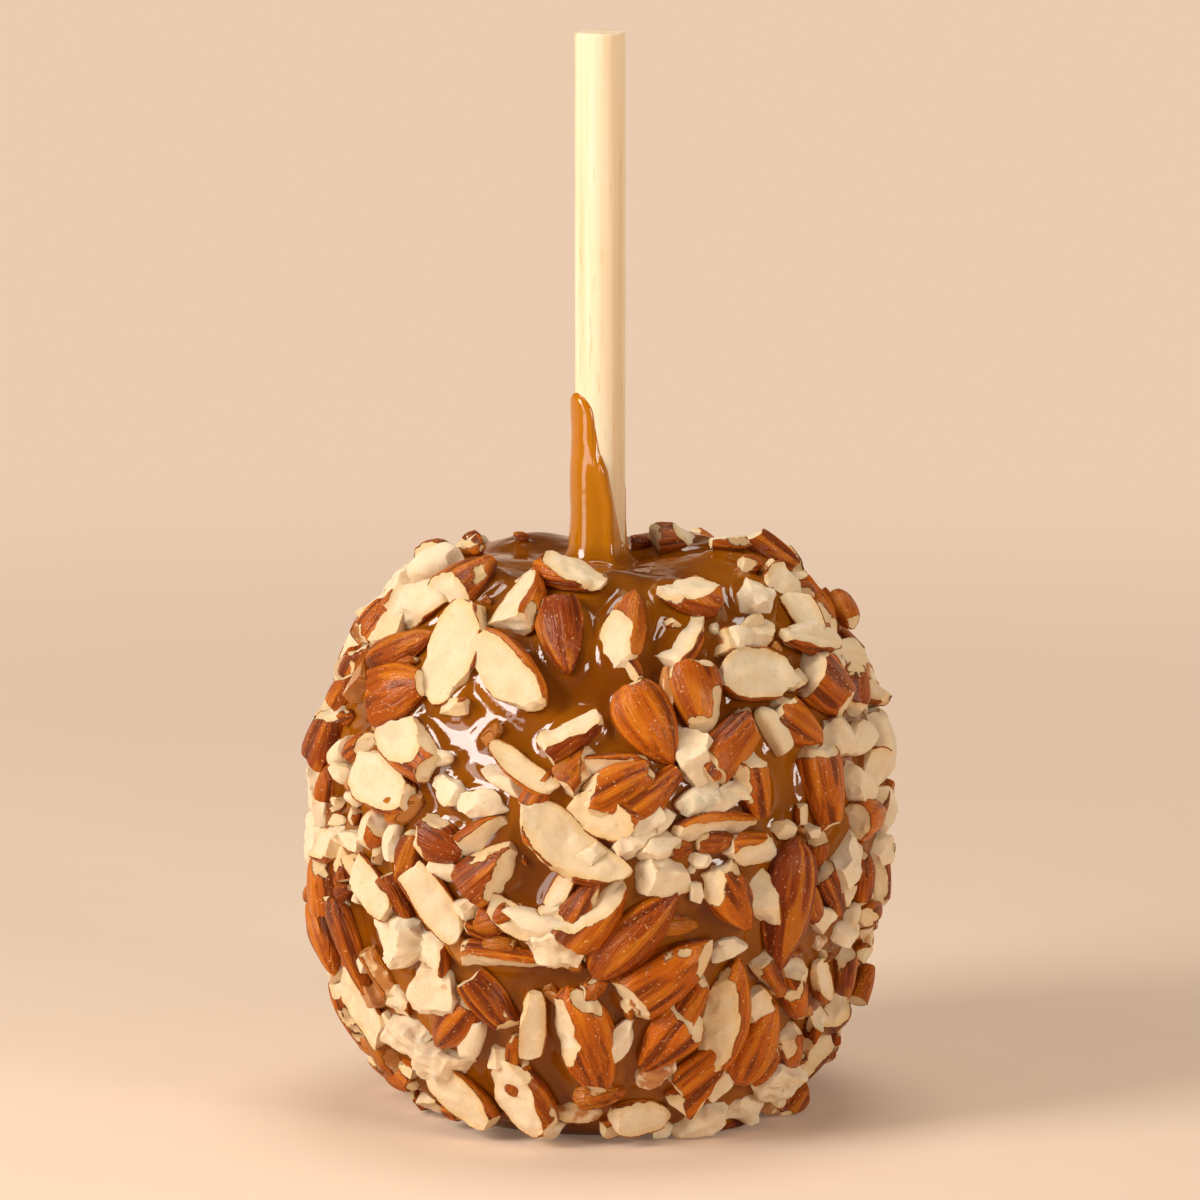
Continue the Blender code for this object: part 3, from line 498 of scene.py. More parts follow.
# The smaller pieces on the front: u and v on the drawing plane, length, width
# and angle of each, then its broken faces. P is bare flesh broken all round, V a
# thin blade of flesh. The last figures are skin tone (or flesh tone for P and V)
# and how much caramel clings to the piece.
SMALL = (
    ("S", -25.9, 7.5, 8.3, 5.4, 75, (), 0.6, 0),
    ("F", -20.8, 8.8, 6.7, 4.2, -30, ((120, 60, 0.2),), 0.4, 0),
    ("P", -28.6, 0.6, 10.2, 8, 35, (), 0.15, 0), ("P", -32, 1.9, 5.4, 4.2, 40, (), 0.2, 0),
    ("P", -36, -0.8, 5.4, 4.5, 45, (), 0.2, 0), ("P", -33.6, -4.5, 8, 4.8, 30, (), 0.6, 0.1),
    ("S", -39.2, -9.9, 5.1, 3.8, 60, ((60, 30, 0.5),), 0.5, 0),
    ("S", -40.5, -14.1, 6.7, 4.8, 50, ((90, 40, 0.6),), 0.6, 0),
    ("S", -31.2, -9.9, 5.1, 2.6, 10, (), 0.1, 0.6), ("P", -23.2, -17, 4.8, 2.9, 0, (), 0.2, 0),
    ("F", -12.8, 0.6, 9.9, 8.6, 60, ((150, 62, 0.15),), 0.35, 0),
    ("F", -4.8, 4.5, 10.6, 6.7, -10, ((10, 66, 0.2),), 0.4, 0),
    ("F", 14.6, 1.6, 9.6, 8.3, -25, ((110, 58, 0.1),), 0.75, 0),
    ("P", 11.8, -3.5, 2.6, 1.6, 0, (), 0.2, 0),
    ("S", 15.5, -16, 10.9, 8.3, -75, ((-90, 30, 0.75),), 0.5, 0),
    ("V", 10.7, -14.4, 6.7, 2.2, 88, (), 0.5, 0.8),
    ("S", -4.5, -21.1, 9.9, 5.8, 35, ((105, 48, 0.3),), 0.9, 0.1),
    ("F", 20.8, 9.6, 6.1, 3.8, 0, (), 0.4, 0), ("S", 6.6, 9.1, 2.9, 2.2, 0, (), 0.9, 0),
    ("S", -12.5, 9.9, 2.2, 1.6, 0, (), 0.6, 0),
    ("S", 26.7, 8, 9.9, 6.1, -30, ((160, 35, 0.55),), 0.55, 0),
    ("S", 24, 5.6, 3.8, 2.6, 0, (), 0.4, 0), ("P", 29.9, 2.9, 7.7, 6.1, 30, (), 0.2, 0),
    ("P", 25.3, 1.3, 8, 5.8, 85, (), 0, 0),
    ("F", 32.5, -1.9, 8, 5.1, -60, ((200, 60, 0.2),), 0.5, 0),
    ("S", 36.5, -1.9, 6.7, 3.8, -60, (), 0.3, 0.2), ("V", 24, -4, 6.1, 2.2, 35, (), 0.5, 0.2),
    ("P", 21.3, -6.9, 7, 4.2, 10, (), 0.7, 0.5), ("P", 25.3, -5.1, 6.4, 4.5, 60, (), 0.2, 0),
    ("P", 38.1, -21.6, 7, 4.5, 70, (), 0.2, 0), ("V", 41.6, -21.6, 10.2, 3.8, 50, (), 0.2, 0),
    ("S", 31.5, -20.2, 9.9, 6.7, -35, (), 0.35, 0), ("V", 28, -21.1, 8.3, 3.2, -60, (), 0.3, 0.1),
    ("V", -41.3, -24, 6.4, 3.2, 50, (), 0.2, 0), ("P", -41.6, -27.5, 4.2, 3.2, 0, (), 0.2, 0),
    ("S", -43.5, -29.1, 5.4, 3.5, 80, (), 0.3, 0.3), ("V", -26.4, -25.3, 5.8, 2.2, 5, (), 0.1, 0),
    ("S", -30.9, -32.5, 6.4, 5.4, 20, (), 0.1, 0.9), ("P", -45.1, -31.2, 10.6, 4.5, 85, (), 0.1, 0),
    ("P", -42.4, -32.5, 3.2, 2.2, 30, (), 0.1, 0), ("P", -40, -32, 3.2, 1.9, 0, (), 0.1, 0),
    ("P", -39.7, -34.6, 2.9, 1.9, 60, (), 0.1, 0), ("P", -42.1, -35.2, 2.6, 1.8, 0, (), 0.1, 0),
    ("F", -44, -39.2, 6.4, 5.4, 0, ((60, 60, 0.2),), 0.4, 0),
    ("P", -37.3, -37.1, 7.4, 5.4, 30, (), 0.2, 0), ("P", -36, -40.5, 5.1, 3.2, 80, (), 0, 0),
    ("V", -32.8, -39.2, 6.7, 2.6, 90, (), 0, 0),
    ("S", -30.9, -41.1, 8.6, 4.5, 70, ((180, 30, 0.5),), 0.85, 0),
    ("P", -44.3, -44.8, 5.8, 3.8, 30, (), 0.6, 0.1), ("S", -47.2, -46.9, 4.2, 2.6, 60, (), 0.4, 0),
    ("S", -40.5, -46.4, 4.2, 2.9, 30, (), 0.8, 0),
    ("S", -25.4, -38.7, 7.7, 6.7, -30, ((60, 20, 0.8),), 0.85, 0),
    ("S", -18.2, -37.6, 8.8, 5.8, 35, ((-45, 52, 0.15),), 0.4, 0),
    ("P", -24.8, -42.9, 5.1, 2.9, -40, (), 0.1, 0), ("P", -24.2, -30.4, 5.8, 3.2, -50, (), 0, 0),
    ("P", -19.7, -32.5, 7.7, 3.4, 3, (), 0, 0), ("P", -21.3, -49.3, 4.5, 3.5, 0, (), 0.1, 0.1),
    ("S", -3.5, -26.9, 7.2, 5.4, 50, ((0, 40, 0.55),), 0.15, 0.5),
    ("S", 2.9, -26.6, 9, 4.8, 10, ((-90, 48, 0.25),), 0.45, 0),
    ("P", 14.9, -25.3, 8.3, 5.8, -60, (), 0.1, 0), ("V", 16.3, -31.5, 8.3, 3.2, 25, (), 0, 0),
    ("P", 21.6, -30.7, 4.8, 3.5, 0, (), 0.2, 0), ("V", 9.6, -35.5, 5.8, 2.2, 45, (), 0, 0),
    ("P", 5, -39.2, 6.4, 3.2, 15, (), 0.1, 0), ("P", 9.6, -39.2, 7.2, 3.2, 30, (), 0.1, 0),
    ("S", 13, -39.7, 3.5, 2.6, 0, (), 0.5, 0), ("P", 10.2, -44.3, 9, 6.7, 5, (), 0.05, 0),
    ("P", 15.8, -41.6, 2.9, 1.9, 0, (), 0.1, 0), ("P", 14.4, -42.6, 1.9, 1.6, 0, (), 0.1, 0),
    ("P", -6.7, -46.9, 7.7, 3, 60, (), 0.05, 0), ("P", -7.8, -50.1, 4.8, 3.5, 90, (), 0, 0),
    ("P", -7.5, -55, 7.7, 5.8, -5, (), 0.15, 0.3), ("P", 25.3, -46.7, 10.6, 5.4, -75, (), 0.1, 0),
    ("P", 25.1, -40, 9.6, 4.8, -5, (), 0, 0),
    ("S", 24.3, -29.6, 10.6, 6.7, -75, ((92, 45, 0.62),), 0.5, 0),
    ("P", 44.5, -26.9, 7.4, 6.1, 0, (), 0.2, 0), ("P", 41.3, -29.1, 7.4, 4.8, -60, (), 0.2, 0),
    ("P", 46.4, -34.9, 8, 4.2, 90, (), 0.2, 0), ("P", 39.5, -41.9, 8.6, 6.1, 60, (), 0, 0),
    ("S", 44, -45.1, 7.4, 5.8, 80, (), 0.8, 0), ("P", 44.8, -40.3, 5.8, 3.8, 60, (), 0.2, 0),
    ("S", 36.8, -46.9, 9.9, 4.5, -65, (), 0.75, 0), ("P", 29.6, -36.6, 3.8, 3.2, 0, (), 0.2, 0.1),
    ("P", 32.6, -34.4, 3.5, 2.2, 90, (), 0.1, 0), ("P", 33.9, -37.1, 2.2, 1.9, 0, (), 0.1, 0),
    ("P", 35.5, -51, 5.4, 3.2, -5, (), 0.1, 0), ("P", 39.7, -47.2, 4.2, 2.9, 30, (), 0.1, 0),
    ("V", 40.2, -50.6, 4.2, 1.9, 70, (), 0.1, 0), ("P", 39.2, -53.4, 4.5, 3.2, 0, (), 0, 0),
    ("P", 42.9, -52.5, 9.6, 4.2, -80, (), 0.3, 0.5), ("P", -42.7, -58.4, 5.1, 3.2, -60, (), 0.1, 0),
    ("P", -33.1, -54.1, 9.9, 7, 25, (), 0.05, 0), ("P", -27.5, -56.8, 7.7, 6.1, 100, (), 0.1, 0),
    ("P", -26.2, -62.1, 8, 6.7, 10, (), 0.15, 0.25),
    ("S", -34.7, -60.2, 9.9, 3.5, -60, (), 0.1, 0.7), ("P", -37.6, -58.2, 3.5, 2.2, 60, (), 0, 0),
    ("P", -32.2, -65.1, 5.8, 3.5, -80, (), 0, 0), ("P", -36.5, -62.7, 4.5, 3.2, -60, (), 0.3, 0.9),
    ("S", -38.9, -66.4, 12, 6.1, -75, (), 0.3, 0.1), ("S", -36, -70.6, 5.8, 4.8, -30, (), 0.2, 0.8),
    ("P", -30.7, -70.7, 9.3, 6.1, -15, (), 0.05, 0),
    ("S", -19.2, -52.8, 5.1, 2.9, -30, (), 0.85, 0),
    ("S", -31.2, -76.3, 6.7, 4.8, -20, (), 0.45, 0), ("P", -28.8, -75.4, 3.5, 2.2, 0, (), 0.2, 0.9),
    ("P", -25.3, -73.9, 4.5, 2.9, 0, (), 0.1, 0), ("V", 3, -70.6, 7.4, 3.2, 55, (), 0, 0),
    ("S", 16.5, -77.3, 10.4, 6.4, 45, ((-30, 40, 0.6),), 0.1, 0.3),
    ("V", 19.5, -77.4, 6.1, 2.2, 60, (), 0.1, 0),
    ("F", 6.4, -83, 9, 5.8, 0, ((60, 65, 0.2),), 0.4, 0),
    ("P", 1.9, -84.5, 3.5, 2.9, 0, (), 0.2, 0), ("P", 15.7, -83.8, 8, 3.8, 30, (), 0.1, 0),
    ("S", -3.5, -58.4, 2.6, 1.9, 0, (), 0.1, 0.9), ("S", -13.6, -72, 5.8, 2.6, 85, (), 0.4, 0),
    ("P", 32, -60.2, 7.4, 4.5, -60, (), 0.1, 0), ("S", 31.2, -64.2, 8.3, 4.5, -70, (), 0.25, 0),
    ("F", 35.7, -61, 7.4, 3.8, -80, (), 0.5, 0.1), ("S", 36.2, -56.8, 3.5, 2.2, 0, (), 0.6, 0),
    ("S", 38.9, -60, 11.2, 4.2, -80, (), 0.75, 0), ("S", 41.8, -61.6, 7.2, 3.5, 50, (), 0.3, 0.2),
    ("P", 42.4, -56.5, 3.8, 2.6, 0, (), 0.1, 0), ("P", 34.4, -69.1, 10.6, 4.8, 80, (), 0.05, 0),
    ("S", 30.2, -71.5, 8.3, 4.5, -80, (), 0.25, 0.1), ("F", 38.1, -69.1, 8, 3.8, 85, (), 0.4, 0),
    ("P", 29.1, -77.4, 6.4, 4.8, 20, (), 0.2, 0),
    ("S", 30.9, -79.7, 9.9, 5.4, 30, ((0, 40, 0.5),), 0.45, 0),
    ("P", 23.7, -81.1, 8.8, 4.2, 20, (), 0.1, 0), ("S", 20.5, -83.8, 8.3, 3.5, 10, (), 0.85, 0),
    ("P", -8.8, -84.2, 4.8, 3.2, 10, (), 0.2, 0), ("V", 33.9, -6.4, 12.8, 3.8, -14, (), 0.1, 0.1),
    ("S", 39.2, -1.9, 7, 4.5, -80, (), 0.3, 0.1),
    ("S", 26.4, 7.5, 9.3, 6.4, -25, ((160, 35, 0.55),), 0.6, 0),
    ("V", 21.6, -6.4, 6.4, 3.2, 20, (), 0.1, 0.3), ("S", 19.5, -23.2, 11.2, 5.4, 55, (), 0.3, 0),
    ("V", 17.9, -32, 9.6, 3.5, 20, (), 0.05, 0), ("S", 2.9, -30.4, 11.2, 7, 30, (), 0.25, 0.1),
    ("P", 6.4, -34.4, 8, 4.5, 25, (), 0.05, 0), ("S", 8.8, -30.4, 8.6, 4.8, 40, (), 0.6, 0.2),
    ("P", -1.6, -41.6, 6.4, 3.5, 20, (), 0.1, 0), ("S", 18.6, -38.4, 6.4, 3.5, 0, (), 0.5, 0.4),
    ("S", -16, -50.4, 7.4, 4.8, 20, (), 0.6, 0.5), ("V", -9.6, -52, 11.2, 3.8, -15, (), 0.05, 0.1),
    ("S", -3.2, -48.8, 8, 4.8, 60, (), 0.5, 0.2), ("P", -23.7, -65.6, 7.4, 4.8, 60, (), 0.15, 0.4),
    ("S", -16, -55.2, 4.8, 3.5, 0, (), 0.8, 0.7), ("V", -20.5, -69.6, 9, 3.5, 75, (), 0.1, 0.1),
    ("S", -12.8, -76, 6.4, 3.8, 70, (), 0.5, 0.4), ("P", -25.6, -73.6, 9.6, 5.8, -30, (), 0.1, 0.1),
    ("S", -33.6, -72.8, 7.4, 5.4, -60, (), 0.4, 0.8), ("S", 8.8, -61.6, 9.6, 4.2, 40, (), 0.4, 0.5),
    ("S", 14.4, -64, 8, 4.8, 60, (), 0.3, 0.3), ("P", 8.8, -76, 5.4, 3.5, 30, (), 0.1, 0.6),
    ("S", 0, -79.2, 7.4, 4.2, 10, (), 0.4, 0.6), ("S", 16, -74.4, 9.6, 5.4, 40, (), 0.25, 0.2),
    ("P", 25.6, -65.6, 7, 4.5, -70, (), 0.1, 0.1), ("S", 27.2, -60, 8, 4.2, -60, (), 0.4, 0.5),
    ("S", 33.6, -48.8, 9, 4.2, -65, (), 0.6, 0.2), ("P", 28.8, -76.8, 9, 5.4, 0, (), 0.15, 0),
    ("S", 26.4, -73.6, 7, 4.8, 50, (), 0.3, 0.3), ("S", 12.8, -52, 5.4, 3.2, 0, (), 0.4, 0.8),
    ("S", -40.8, -52.8, 11.2, 4.2, -75, (), 0.4, 0.3), ("S", -32, -48, 8, 3.8, -60, (), 0.6, 0.3),
    ("V", -15.2, -28.8, 8, 2.6, -35, (), 0.1, 0.2), ("S", -9.6, -30.4, 6.4, 4.2, 60, (), 0.4, 0.4),
)


def plan_back(rng):
    rows, places = [], []
    while len(rows) < BACK_COUNT:
        bearing = rng.uniform(0.02, 0.98) * math.pi
        height = rng.uniform(8.0, 71.0)
        turn = rng.uniform(0, 360)
        size = rng.uniform(12.5, 19.0)
        slim = rng.uniform(0.42, 0.56)
        short = rng.uniform(0.0, 0.25)
        pale = rng.uniform() < 0.4
        side, tip = rng.uniform(0, 360), rng.uniform(30, 60)
        way = np.array((math.cos(bearing), math.sin(bearing), 0.0))
        lo, hi = 5.0, 60.0
        for _ in range(30):
            mid = (lo + hi) / 2
            inside = height_over(way * mid + (0, 0, height))[0] < (2.5 if pale else 1.5)
            lo, hi = (mid, hi) if inside else (lo, mid)
        p = way * lo + np.array((0.0, 0.0, height))
        if any(np.linalg.norm(p - q) < 17.0 for q in places):
            continue
        places.append(p)
        z = outward(p)
        level = unit(np.cross((0, 0, 1), z))
        t = math.radians(turn)
        x = math.cos(t) * level + math.sin(t) * np.cross(z, level)
        s = math.radians(side)
        lean = math.radians(75 if pale else tip)
        face = math.cos(lean) * (
            math.cos(s) * x + math.sin(s) * np.cross(z, x)
        ) + math.sin(lean) * z
        rows.append((p, (x, np.cross(z, x), z), size, slim * size, short, pale, face))
    return rows


def chips(nut, rng, count, low, high, lift=(5, 45)):
    """Breaks small pieces off round the edge."""
    for _ in range(count):
        a, e = rng.uniform(0, 2 * math.pi), math.radians(rng.uniform(*lift))
        n = np.array((math.cos(a) * math.cos(e), math.sin(a) * math.cos(e), math.sin(e)))
        nut.break_off(n, rng.uniform(low, high), local=True)


def shed(nut, rng, sides=5):
    """A piece of bare flesh: broken on every side into a few uneven faces."""
    turn = rng.uniform(0, 2 * math.pi)
    for k in range(sides):
        a = turn + 2 * math.pi * (k + rng.uniform(-0.32, 0.32)) / sides
        e = math.radians(rng.uniform(-12, 34))
        n = np.array((math.cos(a) * math.cos(e), math.sin(a) * math.cos(e), math.sin(e)))
        nut.break_off(n, rng.uniform(0.58, 0.84), local=True)
    for _ in range(2):
        a = rng.uniform(0, 2 * math.pi)
        e = math.radians(rng.uniform(48, 86))
        n = np.array((math.cos(a) * math.cos(e), math.sin(a) * math.cos(e), math.sin(e)))
        nut.break_off(n, rng.uniform(0.5, 0.78), local=True)
    chips(nut, rng, 3, 0.84, 0.95, (0, 60))


def big_nuts():
    """The pieces that stand for the CAD's almonds: (node, nut, tones)."""
    made = []
    rng = np.random.default_rng(5)
    for i, row in enumerate(FRONT):
        u, v, length, width, angle, lift, blunt, tip, look, faces = row
        p = seat(u, v, lift)
        axes = laid_axes(p, angle)
        pale = look == "F"
        nut = Nut(
            p, axes, length, width, (blunt, tip), seed=i + 1, tip=0.55 if pale else 0.8,
            bend=BEND.get(i, 0.0),
        )
        for way, turned, share in faces + ((OPENED[i],) if i in OPENED else ()):
            nut.break_off(facing(axes, way, turned), share, crags=0.35 if pale else 0.8)
        if pale:
            chips(nut, rng, 5, 0.80, 0.96, (-10, 35))
        elif faces:
            chips(nut, rng, 3, 0.84, 0.96, (0, 50))
        made.append((f"almond_{i + 1:02d}", nut, SKIN_TONE[i], FLESH_TONE.get(i, 0.2), 0.0, look == "F"))
    back = plan_back(np.random.default_rng(SEED))
    for i, (p, axes, length, width, short, pale, face) in enumerate(back):
        nut = Nut(p, axes, length, width, (short, 0.0), seed=61 + i, tip=0.6 if pale else 0.8)
        nut.break_off(face, 0.15 if pale else 0.6, crags=0.4)
        chips(nut, rng, 3, 0.82, 0.95)
        n = len(FRONT) + i + 1
        made.append((f"almond_{n:02d}", nut, rng.uniform(0.1, 0.9), rng.uniform(0, 0.6), 0.0, pale))
    return made


def small_nut(kind, p, axes, length, width, angle_faces, rng, seed):
    if kind == "V":
        nut = Nut(p, axes, length * 1.1, width * 1.3, (0.04, 0.04), thick=width * 0.95 + 0.8,
                  seed=seed, bare=True, bend=width * rng.uniform(-0.3, 0.3), tip=0.5)
        chips(nut, rng, 5, 0.66, 0.9, (-5, 70))
    elif kind == "P" and rng.uniform() < 0.42:
        nut = Nut(p, axes, length * 1.12, width * 1.2, (0.15, 0.15), seed=seed, tip=0.5,
                  thick=min(0.7 * width + 2.4, 7.5), rough=1.1)
        a = rng.uniform(0, 2 * math.pi)
        e = math.radians(rng.uniform(52, 76))
        n = np.array((math.cos(a) * math.cos(e), math.sin(a) * math.cos(e), math.sin(e)))
        nut.break_off(n, rng.uniform(0.05, 0.3), local=True, crags=0.6)
        a += rng.uniform(1.2, 2.6)
        n = np.array((math.cos(a) * 0.8, math.sin(a) * 0.8, 0.6))
        nut.break_off(n, rng.uniform(0.35, 0.6), local=True)
        chips(nut, rng, 5, 0.74, 0.94, (-10, 50))
    elif kind == "P":
        nut = Nut(p, axes, length * 1.34, width * 1.4, (0.06, 0.1), tip=0.5,
                  thick=min(0.66 * width + 2.4, 7.8), seed=seed, bare=True, rough=1.15)
        shed(nut, rng)
    else:
        missing = (rng.uniform(0.1, 0.35), rng.uniform(0.0, 0.2))
        nut = Nut(p, axes, length * 1.08, width * 1.1, missing, seed=seed,
                  tip=0.55 if kind == "F" else 0.75)
        for n, share in angle_faces:
            nut.break_off(n, share, crags=0.5)
        chips(nut, rng, 4, 0.8, 0.95)
    return nut


def reined(nut):
    """Sinks a piece that would stand out past the rest of the nuts."""
    q = nut.p + nut.samples() @ nut.m.T
    over = max(0.0, np.abs(q[:, 0]).max() - REACH, q[:, 1].max() - REACH_BACK, -q[:, 1].min() - REACH)
    if over:
        flat = unit(nut.p * (1, 1, 0))
        nut.p = nut.p - flat * over
    return nut


def small_nuts():
    rng = np.random.default_rng(17)
    made = []
    for i, (kind, u, v, length, width, angle, faces, tone, cling) in enumerate(SMALL):
        lift = {"S": 0.9, "F": 1.7, "P": 1.3, "V": 1.5}[kind]
        lift += {"S": 0.1, "F": 0.12, "P": 0.14, "V": 0.1}[kind] * width
        p = seat(u, v, lift)
        axes = laid_axes(p, angle)
        if kind == "F" and not faces:
            faces = ((100, 75, 0.2),)
        cuts = [(facing(axes, way, turned), share) for way, turned, share in faces]
        nut = small_nut(kind, p, axes, length, width, cuts, rng, 101 + i)
        skin, flesh = (tone, 0.2) if kind in "SF" else (0.3, tone)
        made.append((kind, reined(nut), skin, flesh, cling))
    return made


# Where the caramel shows bare: middle and half sizes on the drawing plane.
BARE = (
    (-5.2, 9.4, 13.0, 4.0), (5.0, 1.2, 5.5, 3.5), (-10.8, -8.0, 2.4, 8.0), (-22.0, -26.5, 5.4, 7.5),
    (-2.5, -11.5, 4.6, 9.0), (29.6, -29.6, 2.2, 4.0), (4.8, -77.0, 9.0, 2.4), (-14.0, -61.0, 7.0, 2.8),
    (25.0, -57.6, 2.2, 4.6), (15.0, 1.0, 6.0, 3.0), (-12.5, -21.0, 3.6, 4.0), (18.0, 3.5, 5.0, 2.6),
)


def on_plane(p):
    d = p - EYE
    k = np.linalg.norm(AIM - EYE) / (d @ AHEAD)
    return float(d @ RIGHT * k), float(d @ UP * k)


def scattered(taken):
    """More pieces over the sides, the back and the underside, and small ones in
    what room is left on the front, each dropped where it clears the others."""
    rng = np.random.default_rng(23)
    spots = [(n.p, 0.25 * (n.length + n.width)) for n in taken]
    at = np.array([s[0] for s in spots])
    size = np.array([s[1] for s in spots])
    made = []
    for low, high, tries, close, front in (
        (10.0, 13.5, 1800, 0.84, False),
        (7.0, 10.0, 2600, 0.84, False),
        (6.0, 8.5, 900, 0.92, True),
        (3.6, 6.5, 2600, 0.96, True),
        (1.8, 3.2, 800, 0.96, True),
    ):
        for _ in range(tries):
            bearing = rng.uniform(-math.pi, math.pi)
            pick = rng.uniform(0, 1)
            length = rng.uniform(low, high)
            width = length * rng.uniform(0.5, 0.8)
            kind = rng.choice(["S", "F", "P", "V"], p=(0.52, 0.14, 0.28, 0.06))
            angle, tone, way, e = rng.uniform(0, 1, 4)
            k = int(np.searchsorted(AREA, pick))
            r, z0 = FINE[min(k, len(FINE) - 2)]
            theta = bearing
            s = r * float(swell(theta, z0))
            p = np.array((s * math.cos(theta), s * math.sin(theta), z0 + float(rise(theta, r, z0))))
            if p[2] < 2.2 + 0.25 * width or (r < 23 and z0 > 60):
                continue
            off = math.degrees(abs(math.atan2(p[0], -p[1])))
            u, v = on_plane(p)
            if off < 80 or (z0 > 74 and p[1] < 0):
                if any(((u - a) / c) ** 2 + ((v - b) / d) ** 2 < 1 for a, b, c, d in BARE):
                    continue
            if p[1] > -6 and v > 7.2 - 0.1 * length and -26 < u < 34:
                continue
            if off < 68 and not front:
                continue
            reach = 0.25 * (length + width)
            gap = np.linalg.norm(at - p, axis=1) - (size + reach) * close
            if gap.min() < 0:
                continue
            z = outward(p)
            p = p + z * ({"S": 0.8, "F": 1.5, "P": 0.9, "V": 1.1}[kind] + 0.08 * width)
            level = unit(np.cross((0, 0, 1), z))
            t = 2 * math.pi * angle
            x = math.cos(t) * level + math.sin(t) * np.cross(z, level)
            axes = (x, np.cross(z, x), z)
            s, lean = 2 * math.pi * way, math.radians(76 if kind == "F" else 25 + 40 * e)
            n = math.cos(lean) * (math.cos(s) * x + math.sin(s) * np.cross(z, x)) + math.sin(lean) * z
            nut = small_nut(kind, p, axes, length, width, [(n, 0.2 if kind == "F" else 0.6)], rng, 301 + len(made))
            sticky = 0.3 + 0.6 * e if rng.uniform() < (0.3 if off < 68 else 0.10) else 0.0
            made.append((str(kind), reined(nut), tone, 0.35 * tone, sticky))
            at = np.vstack((at, p))
            size = np.append(size, reach)
    return made


_seg = np.linalg.norm(np.diff(FINE, axis=0), axis=1) * (FINE[:-1, 0] + FINE[1:, 0]) / 2
AREA = np.cumsum(_seg) / _seg.sum()


def make_object(name, verts, faces, attributes, material, smooth=None):
    mesh = bpy.data.meshes.new(name)
    verts = np.asarray(verts, np.float32) * MM
    n = faces.shape[1]
    mesh.vertices.add(len(verts))
    mesh.vertices.foreach_set("co", verts.ravel())
    mesh.loops.add(len(faces) * n)
    mesh.loops.foreach_set("vertex_index", faces.astype(np.int32).ravel())
    mesh.polygons.add(len(faces))
    mesh.polygons.foreach_set("loop_start", np.arange(0, len(faces) * n, n, dtype=np.int32))
    mesh.update(calc_edges=True)
    mesh.validate()
    for key, values in attributes.items():
        values = np.asarray(values, np.float32)
        kind = "FLOAT_VECTOR" if values.ndim == 2 else "FLOAT"
        layer = mesh.attributes.new(key, kind, "POINT")
        layer.data.foreach_set("vector" if values.ndim == 2 else "value", values.ravel())
    mesh.shade_smooth()
    if smooth:
        mesh.set_sharp_from_angle(angle=math.radians(smooth))
    mesh.materials.append(material)
    obj = bpy.data.objects.new(name, mesh)
    bpy.context.scene.collection.objects.link(obj)
    return obj


# ------------------------------------------------------------------ materials
class Graph:
    def __init__(self, name):
        self.material = bpy.data.materials.new(name)
        self.material.use_nodes = True
        self.tree = self.material.node_tree
        self.shader = self.tree.nodes["Principled BSDF"]

    def node(self, kind, **settings):
        n = self.tree.nodes.new(kind)
        for key, value in settings.items():
            setattr(n, key, value)
        return n

    def link(self, a, b):
        self.tree.links.new(a, b)

    def feed(self, socket, value):
        if isinstance(value, bpy.types.NodeSocket):
            self.link(value, socket)
        elif value is not None:
            socket.default_value = value

    def attribute(self, name, vector=False):
        n = self.node("ShaderNodeAttribute", attribute_name=name)
        return n.outputs["Vector" if vector else "Fac"]

    def math(self, op, a, b=None, c=None, clamp=False):
        n = self.node("ShaderNodeMath", operation=op, use_clamp=clamp)
        for k, value in enumerate((a, b, c)):
            self.feed(n.inputs[k], value)
        return n.outputs[0]

    def ramp(self, value, low, high, to_low=0.0, to_high=1.0):
        n = self.node("ShaderNodeMapRange", interpolation_type="SMOOTHSTEP")
        self.feed(n.inputs["Value"], value)
        n.inputs["From Min"].default_value = low
        n.inputs["From Max"].default_value = high
        n.inputs["To Min"].default_value = to_low
        n.inputs["To Max"].default_value = to_high
        return n.outputs["Result"]

    def mix(self, fac, a, b, kind="MIX"):
        n = self.node("ShaderNodeMix", data_type="RGBA", blend_type=kind)
        self.feed(n.inputs[0], fac)
        for k, value in ((6, a), (7, b)):
            if isinstance(value, tuple):
                value = (*value, 1.0)
            self.feed(n.inputs[k], value)
        return n.outputs[2]

    def scaled(self, vector, scale):
        n = self.node("ShaderNodeMapping")
        self.link(vector, n.inputs["Vector"])
        n.inputs["Scale"].default_value = scale
        return n.outputs[0]

    def noise(self, vector, scale, detail=2.0, rough=0.5, distort=0.0):
        n = self.node("ShaderNodeTexNoise")
        self.link(vector, n.inputs["Vector"])
        n.inputs["Scale"].default_value = scale
        n.inputs["Detail"].default_value = detail
        n.inputs["Roughness"].default_value = rough
        n.inputs["Distortion"].default_value = distort
        return n.outputs["Fac"]

    def place(self):
        return self.node("ShaderNodeTexCoord").outputs["Object"]

    def bump(self, height, strength, distance, normal=None):
        n = self.node("ShaderNodeBump")
        n.inputs["Strength"].default_value = strength
        n.inputs["Distance"].default_value = distance
        self.link(height, n.inputs["Height"])
        if normal is not None:
            self.link(normal, n.inputs["Normal"])
        return n.outputs["Normal"]


